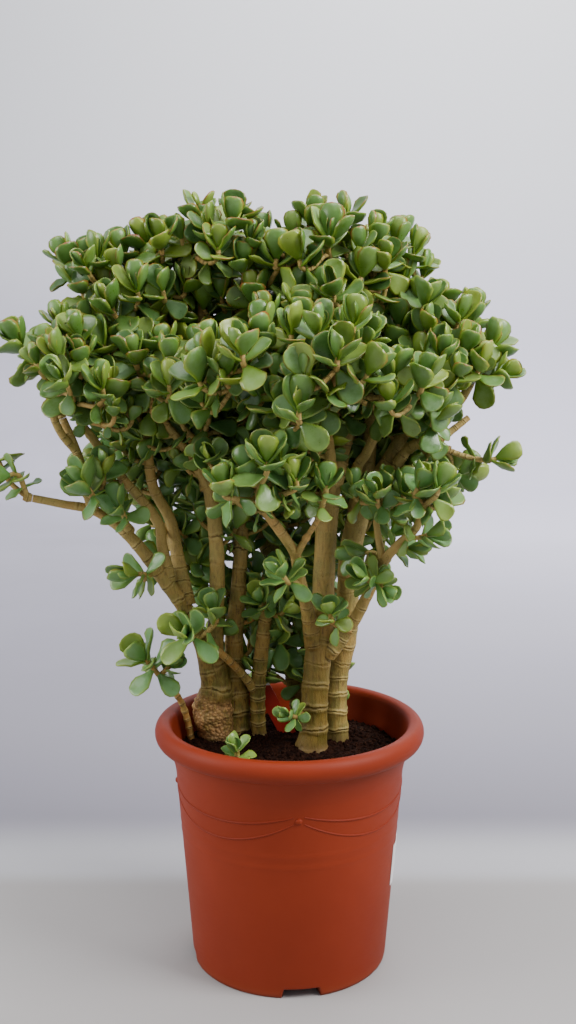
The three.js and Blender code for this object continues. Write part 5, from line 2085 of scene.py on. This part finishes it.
@dataclass
class Pot:
    """The moulded pot with its rolled rim, rings, garlands, notched foot and drain holes.

    Args:
        roll: how far the rolled rim bulges, over the depth of the collar.
        shoulder_radius, shoulder_height: where the wall starts to flare towards the rim.
        flare: how far it flares.
        pad_radius: the radius of the flat pad under the pot.
        notch_turn: how far the first notch stands aside of the front, as a share of their step.
        rings: the heights of the two fine rings on the wall, with their half-width and height.
        garland_turn: the angle of the first knot from the front.
        knot_size: half a knot's width, thickness and height.
        garland_lines: for the upper and lower line of a garland its start beside the knot, its lowest
            point and its radius.
    """

    height: float = 0.302
    rim_radius: float = 0.165
    mouth_radius: float = 0.1445
    collar_depth: float = 0.026
    roll: float = 0.010
    shoulder_radius: float = 0.1397
    shoulder_height: float = 0.241
    flare: float = 0.0075
    base_radius: float = 0.1205
    wall: float = 0.0035
    floor: float = 0.004
    foot_height: float = 0.012
    foot_width: float = 0.018
    pad_radius: float = 0.062
    notches: int = 4
    notch_turn: float = 0.07
    notch_width: float = 0.044
    drains: int = 6
    drain_radius: float = 0.007
    sides: int = 240
    rows: int = 96
    rings: Pair = (0.166, 0.180)
    ring_width: float = 0.0016
    ring_height: float = 0.0006
    garlands: int = 4
    garland_rows: int = 24
    garland_sink: float = 0.3
    garland_turn: float = math.radians(4.4)
    knot_height: float = 0.2255
    knot_size: Point = (0.0044, 0.0026, 0.0036)
    garland_lines: tuple[Point, ...] = (
        (0.232, 0.217, 0.0013), (0.225, 0.195, 0.0011))
    finish: PotFinish = PotFinish()
    # The garland lines get a darker copy of the pot's finish: painted shadow along the relief.
    line_finish: PotFinish = PotFinish("shaded_plastic", (0.205, 0.021, 0.005), (0.180, 0.018, 0.004))

    GARLAND_STREAM = 61

    def wall_radius(self, z: float) -> float:
        """The outer wall's radius at a height.

        Args:
            z: the height.

        Returns:
            The radius.
        """
        radius = self.base_radius + (self.shoulder_radius - self.base_radius) * z / self.shoulder_height
        ridge = sum(math.exp(-((z - ring) / self.ring_width) ** 2) for ring in self.rings)
        collar_foot = self.height - self.collar_depth
        rise = max(0.0, (z - self.shoulder_height) / (collar_foot - self.shoulder_height))
        return radius + self.ring_height * ridge + self.flare * rise ** 1.6

    def profile(self) -> list[Pair]:
        """The turned outline from the underside's middle round to the floor's middle."""
        foot = self.foot_height
        inner_foot = self.base_radius - self.foot_width
        collar = self.height - self.collar_depth
        floor_top = foot + self.floor
        outline = [(self.pad_radius - 0.001, 0.0), (self.pad_radius, 0.0005), (self.pad_radius + 0.004, foot),
                   (inner_foot - 0.003, foot), (inner_foot, 0.0006), (inner_foot + 0.001, 0.0),
                   (self.base_radius - 0.0022, 0.0), (self.base_radius - 0.0006, 0.0008)]
        for i in range(1, self.rows + 1):
            z = 0.0016 + (collar - 0.0024) * i / self.rows
            outline.append((self.wall_radius(z), z))
        half = self.collar_depth / 2
        for step in range(-9, 10):
            angle = math.radians(step * 10.0)
            outline.append((self.rim_radius - self.roll + self.roll * math.cos(angle),
                            self.height - half + half * math.sin(angle)))
        outline += [(self.mouth_radius + 0.005, self.height - 0.0008),
                    (self.mouth_radius + 0.0018, self.height - 0.003),
                    (self.mouth_radius, self.height - 0.008),
                    (self.mouth_radius - 0.0008, self.height - 0.016),
                    (self.wall_radius(self.shoulder_height) - self.wall, self.shoulder_height),
                    (self.wall_radius(floor_top) - self.wall, floor_top)]
        return outline

    def _notched(self, angle: float) -> bool:
        """Tells whether the foot ring is cut away at an angle.

        Args:
            angle: the angle from the front, in radians.

        Returns:
            True inside a notch.
        """
        step = 2 * math.pi / self.notches
        nearest = (angle - self.notch_turn * step + step / 2) % step - step / 2
        return abs(nearest) * self.base_radius < self.notch_width / 2

    def body_mesh(self) -> bpy.types.Mesh:
        """Turns the pot."""
        outline = self.profile()
        inner_foot = self.base_radius - self.foot_width - 0.0005
        verts: list[Point] = []
        for k in range(self.sides):
            angle = 2 * math.pi * k / self.sides
            lifted = self._notched(angle)
            for radius, z in outline:
                if lifted and z < self.foot_height and radius > inner_foot:
                    z = self.foot_height + 0.0002 * (radius - self.base_radius) / self.foot_width
                verts.append(turned_point(radius, angle, z))
        count = len(outline)
        faces: list[tuple[int, ...]] = []
        for k in range(self.sides):
            a, b = k * count, (k + 1) % self.sides * count
            for i in range(count - 1):
                faces.append((a + i, b + i, b + i + 1, a + i + 1))
        under = len(verts)
        verts += [(0.0, 0.0, 0.0), (0.0, 0.0, outline[-1][1])]
        for k in range(self.sides):
            a, b = k * count, (k + 1) % self.sides * count
            faces += [(a, under, b), (a + count - 1, b + count - 1, under + 1)]
        return mesh_from("pot_body", verts, faces)

    def drilled(self, body: bpy.types.Object) -> bpy.types.Mesh:
        """The pot's mesh with its drain holes cut.

        Args:
            body: the turned pot.

        Returns:
            The cut mesh.
        """
        cutter = bmesh.new()
        reach = (self.pad_radius + self.base_radius - self.foot_width) / 2
        for i in range(self.drains):
            angle = 2 * math.pi * (i + 0.5) / self.drains
            place = Matrix.Translation(turned_point(reach, angle, self.foot_height))
            bmesh.ops.create_cone(cutter, cap_ends=True, segments=32, radius1=self.drain_radius,
                                  radius2=self.drain_radius, depth=0.02, matrix=place)
        tool = new_object("drain_holes", mesh_of("drain_holes", cutter))
        cut = body.modifiers.new("drain", "BOOLEAN")
        cut.object = tool
        cut.solver = "EXACT"
        graph = bpy.context.evaluated_depsgraph_get()
        result = bpy.data.meshes.new_from_object(body.evaluated_get(graph), depsgraph=graph)
        bpy.data.objects.remove(tool)
        return result

    def garland_mesh(self, limbs: GeometryTree, finish: bpy.types.Material) -> bpy.types.Mesh:
        """The raised garlands between their knots.

        Args:
            limbs: the tree that makes round sticks.
            finish: their material.

        Returns:
            The mesh.
        """
        gathered = StickMesh()
        draws = Draws(self.GARLAND_STREAM)
        step = 2 * math.pi / self.garlands
        rows = self.garland_rows
        for k in range(self.garlands):
            start = self.garland_turn + k * step
            for top, bottom, radius in self.garland_lines:
                points: list[Vector] = []
                radii: list[float] = []
                for i in range(rows + 1):
                    share = 0.03 + 0.94 * i / rows
                    rise = (2 * share - 1) ** 2
                    angle = start + step * share
                    z = bottom + (top - bottom) * rise
                    reach = self.wall_radius(z) - radius * self.garland_sink
                    points.append(Vector(turned_point(reach, angle, z)))
                    radii.append(radius * (1.25 - 0.5 * rise))
                gathered.add_stick(Stick(points, radii, knots=0.0), draws)
        values = {"Sides": 10, "Row length": 0.003, "Ring height": 0.0, "Lumps": 0.0, "Bark": finish}
        return limbs.grown(gathered.mesh("garland_lines"), values, "pot_garlands")

    def knot_mesh(self) -> bpy.types.Mesh:
        """The small knots that the garlands hang from."""
        shape = bmesh.new()
        for k in range(self.garlands):
            angle = self.garland_turn + k * 2 * math.pi / self.garlands
            place = turned_point(self.wall_radius(self.knot_height), angle, self.knot_height)
            matrix = Matrix.LocRotScale(place, Matrix.Rotation(angle, 3, "Z"), self.knot_size)
            bmesh.ops.create_uvsphere(shape, u_segments=20, v_segments=12, radius=1.0, matrix=matrix)
        mesh = mesh_of("pot_knots", shape)
        mesh.polygons.foreach_set("use_smooth", [True] * len(mesh.polygons))
        return mesh

    def build(self, limbs: GeometryTree) -> None:
        """Builds the pot and its relief.

        Args:
            limbs: the tree that makes round sticks.
        """
        finish = self.finish.make()
        turned = new_object("pot_turned", self.body_mesh())
        mesh = self.drilled(turned)
        bpy.data.objects.remove(turned)
        mesh.name = "pot_moulded"
        mesh.materials.clear()
        mesh.materials.append(finish)
        body = new_object("pot_moulded", mesh)
        present(body, Slot.POT, "pot")
        garlands = new_object("pot_garlands", self.garland_mesh(limbs, self.line_finish.make()))
        present(garlands, Slot.POT)
        knots = new_object("pot_knots", self.knot_mesh())
        knots.data.materials.append(finish)
        present(knots, Slot.POT)


@dataclass
class Soil:
    """The soil with its crumbs.

    Args:
        level, radius: the height and the radius of its surface.
        foot, foot_radius: those of its bottom.
        dome: how much higher its middle is.
        roughness, lumps: how high its hills and its lumps are.
        crumbs: how many crumbs lie on a square metre.
        crumb_sizes: the radii of the smallest and the largest of them.
    """

    level: float = 0.2615
    radius: float = 0.1365
    foot_radius: float = 0.1175
    foot: float = 0.0166
    rings: int = 44
    sides: int = 120
    dome: float = 0.003
    roughness: float = 0.0055
    lumps: float = 0.0016
    crumbs: float = 36000.0
    crumb_sizes: Pair = (0.0008, 0.0036)

    def _height(self, x: float, y: float) -> float:
        """The surface's height, hilly in the same way as the solid's.

        Args:
            x: the place's X.
            y: its Y.

        Returns:
            The height there.
        """
        hills = self.roughness * math.sin(x / 0.023 + 1) * math.cos(y / 0.019)
        lumps = self.lumps * math.sin(x * 410 + 1.3 * math.sin(y * 290)) * math.sin(y * 370 + 0.9)
        inside = 1 - (math.hypot(x, y) / self.radius) ** 6
        return self.level + (self.dome + hills) * inside + lumps

    def build(self) -> None:
        """Builds the soil."""
        finish = SoilFinish().make()
        verts: list[Point] = [(0.0, 0.0, self._height(0.0, 0.0))]
        for ring in range(1, self.rings + 1):
            radius = self.radius * ring / self.rings
            for k in range(self.sides):
                angle = 2 * math.pi * k / self.sides
                x, y = radius * math.cos(angle), radius * math.sin(angle)
                verts.append((x, y, self._height(x, y)))
        for k in range(self.sides):
            angle = 2 * math.pi * k / self.sides
            verts.append((self.foot_radius * math.cos(angle), self.foot_radius * math.sin(angle), self.foot))
        verts.append((0.0, 0.0, self.foot))
        faces: list[tuple[int, ...]] = []
        for k in range(self.sides):
            j = (k + 1) % self.sides
            faces.append((0, 1 + k, 1 + j))
            for ring in range(self.rings):
                a, b = 1 + ring * self.sides, 1 + (ring + 1) * self.sides
                faces.append((a + k, b + k, b + j, a + j))
            last = 1 + self.rings * self.sides
            faces.append((last + j, last + k, len(verts) - 1))
        ground = mesh_from("soil_ground", verts, faces)
        top = [face.normal.z > 0.3 for face in ground.polygons]
        ground.attributes.new("open", "BOOLEAN", "FACE").data.foreach_set("value", top)
        shape = bmesh.new()
        bmesh.ops.create_icosphere(shape, subdivisions=1, radius=1.0)
        crumb = bpy.data.objects.new("crumb", mesh_of("crumb", shape))
        values = {"Crumb": crumb, "Density": self.crumbs, "Smallest": self.crumb_sizes[0],
                  "Largest": self.crumb_sizes[1], "Soil": finish}
        mesh = crumb_tree().grown(ground, values, "soil_crumbly")
        bpy.data.objects.remove(crumb)
        present(new_object("soil_crumbly", mesh), Slot.SOIL, "soil")


@dataclass
class Plates:
    """The tag in the soil, which is its solid with a finish, and the bare label on the pot.

    Args:
        label_turn: the angles of the label's ends, from the pot's right side backwards.
        label_middle: the height of its middle.
        label_corner: the radius of its corners.
        gap: how far it stands off the pot.
    """

    tag: PlateFinish = PlateFinish(
        Slot.TAG.value, face=(0.420, 0.022, 0.010), edge=(0.75, 0.72, 0.70), edge_height=0.3235, shine=0.4)
    label: PlateFinish = PlateFinish(
        Slot.LABEL.value, face=(0.780, 0.780, 0.770), edge=(0.78, 0.78, 0.77), edge_height=0.2, shine=0.55)
    label_turn: Pair = (math.radians(-18.5), math.radians(7.0))
    label_middle: float = 0.127
    label_height: float = 0.052
    label_corner: float = 0.003
    gap: float = 0.0004
    thickness: float = 0.0006

    def label_mesh(self, pot: Pot) -> bpy.types.Mesh:
        """The label, bent round the pot, with rounded corners.

        Args:
            pot: the pot that it sticks to.

        Returns:
            The mesh.
        """
        verts: list[Point] = []
        first, last = self.label_turn
        width = (last - first) * pot.wall_radius(self.label_middle)
        corner = self.label_corner
        steps = [corner * (1 - math.cos(math.radians(15 * i))) for i in range(7)]
        steps += [corner + (width - 2 * corner) * i / 12 for i in range(1, 12)]
        steps += [width - step for step in reversed(steps[:7])]
        for step in steps:
            inset = max(0.0, corner - min(step, width - step))
            half = self.label_height / 2 - corner + math.sqrt(corner ** 2 - inset ** 2)
            angle = first + (last - first) * step / width
            for z, off in ((-half, 0.0), (half, 0.0), (half, self.thickness), (-half, self.thickness)):
                z += self.label_middle
                radius = pot.wall_radius(z) + self.gap + off
                verts.append((radius * math.cos(angle), radius * math.sin(angle), z))
        faces: list[tuple[int, ...]] = [(0, 1, 2, 3)]
        for i in range(0, len(verts) - 4, 4):
            faces += [(i + a, i + 4 + a, i + 4 + b, i + b) for a, b in ((0, 1), (1, 2), (2, 3), (3, 0))]
        end = len(verts) - 4
        faces.append((end + 3, end + 2, end + 1, end))
        mesh = mesh_from("label_bare", verts, faces)
        mesh.polygons.foreach_set("use_smooth", [False] * len(mesh.polygons))
        return mesh

    def build(self, pot: Pot) -> None:
        """Dresses the tag and makes the label.

        Args:
            pot: the pot that the label sticks to.
        """
        tag = frame["nodes"]["plant_tag"]
        tag.data.materials.clear()
        tag.data.materials.append(self.tag.make())
        log.info("plant_tag: dressed")
        mesh = self.label_mesh(pot)
        mesh.materials.append(self.label.make())
        present(new_object("label_bare", mesh), Slot.LABEL, "blank_label")


@dataclass(frozen=True)
class Lamp:
    """A soft square lamp: where it stands, what it looks at, its size in metres and its power in watts."""

    name: str
    place: Point
    aim: Point
    size: float
    power: float
    tint: Colour

    def build(self) -> None:
        """Adds the lamp, which the camera doesn't see."""
        light = bpy.data.lights.new(self.name, "AREA")
        light.shape = "SQUARE"
        light.size = self.size
        light.energy = self.power
        light.color = self.tint
        lamp = bpy.data.objects.new(self.name, light)
        lamp.location = self.place
        lamp.rotation_euler = (Vector(self.aim) - Vector(self.place)).to_track_quat("-Z", "Y").to_euler()
        lamp.visible_camera = False
        bpy.context.scene.collection.objects.link(lamp)


@dataclass
class Studio:
    """The camera, the pale ground and the soft light.

    Args:
        distance, aside, height: the camera's place in front of the pot's axis and to the right of it.
        pitch: how far it looks down, in degrees.
        focal_pixels, picture_height: its focal length in the pixels of a picture of that height.
        sensor: its sensor size in millimetres.
        ground_front, ground_side: how far the ground goes to the front and to either side.
        wall_foot, wall_bend, wall_height: where the ground bends upwards, how softly and how high it goes.
        sky, sky_strength: the light from all round.
        lamps: the lamps.
    """

    distance: float = 1.400
    aside: float = -0.0018
    height: float = 0.768
    pitch: float = 8.55
    focal_pixels: float = 1180.0
    picture_height: int = 1024
    sensor: float = 36.0
    ground_front: float = 9.0
    ground_side: float = 12.0
    wall_foot: float = 4.4
    wall_bend: float = 0.8
    wall_height: float = 7.0
    wall_steps: int = 16
    sky: Colour = (0.92, 0.94, 1.0)
    sky_strength: float = 0.60
    lamps: tuple[Lamp, ...] = (
        Lamp("left", (-2.1, -0.4, 1.2), (0.0, 0.0, 0.45), 1.2, 42.0, (1.0, 0.99, 0.97)),
        Lamp("right", (1.7, -0.8, 2.0), (0.1, 0.0, 0.6), 1.1, 84.0, (1.0, 0.99, 0.98)),
        Lamp("top", (-0.1, -0.6, 2.9), (0.0, 0.0, 0.45), 1.6, 42.0, (1.0, 1.0, 0.98)),
        Lamp("wall", (1.3, 2.6, 4.6), (0.9, 5.2, 1.6), 3.0, 235.0, (1.0, 1.0, 1.0)),
    )

    def camera(self) -> None:
        """Sets up the camera."""
        lens = bpy.data.cameras.new("camera")
        lens.sensor_fit = "AUTO"
        lens.sensor_width = self.sensor
        lens.lens = self.focal_pixels * self.sensor / self.picture_height
        viewer = bpy.data.objects.new("camera", lens)
        viewer.location = (self.aside, -self.distance, self.height)
        viewer.rotation_euler = (math.radians(90 - self.pitch), 0.0, 0.0)
        bpy.context.scene.collection.objects.link(viewer)
        bpy.context.scene.camera = viewer

    def ground(self) -> None:
        """Builds the floor that runs up into a far wall, with room for a camera all round the plant."""
        outline = [(-self.ground_front, 0.0), (self.wall_foot, 0.0)]
        for step in range(1, self.wall_steps + 1):
            angle = math.pi / 2 * step / self.wall_steps
            outline.append((self.wall_foot + self.wall_bend * math.sin(angle),
                            self.wall_bend * (1 - math.cos(angle))))
        outline.append((self.wall_foot + self.wall_bend, self.wall_height))
        verts = [(x, y, z) for y, z in outline for x in (-self.ground_side, self.ground_side)]
        faces = [(2 * i, 2 * i + 1, 2 * i + 3, 2 * i + 2) for i in range(len(outline) - 1)]
        mesh = bpy.data.meshes.new("studio_ground")
        mesh.from_pydata(verts, [], faces)
        mesh.polygons.foreach_set("use_smooth", [True] * len(mesh.polygons))
        mesh.materials.append(StudioFinish().make())
        new_object("studio_ground", mesh)

    def build(self) -> None:
        """Builds the whole studio."""
        self.camera()
        self.ground()
        world = bpy.data.worlds.new("studio")
        world.use_nodes = True
        background = world.node_tree.nodes["Background"]
        background.inputs["Color"].default_value = (*self.sky, 1.0)
        background.inputs["Strength"].default_value = self.sky_strength
        bpy.context.scene.world = world
        for lamp in self.lamps:
            lamp.build()


def main() -> None:
    """Builds the plant, its pot and the studio, and notes the sizes."""
    Studio().build()
    Plant().build()
    pot = Pot()
    pot.build(bark_tree())
    Soil().build()
    Plates().build(pot)


if __name__ == "__main__":
    main()
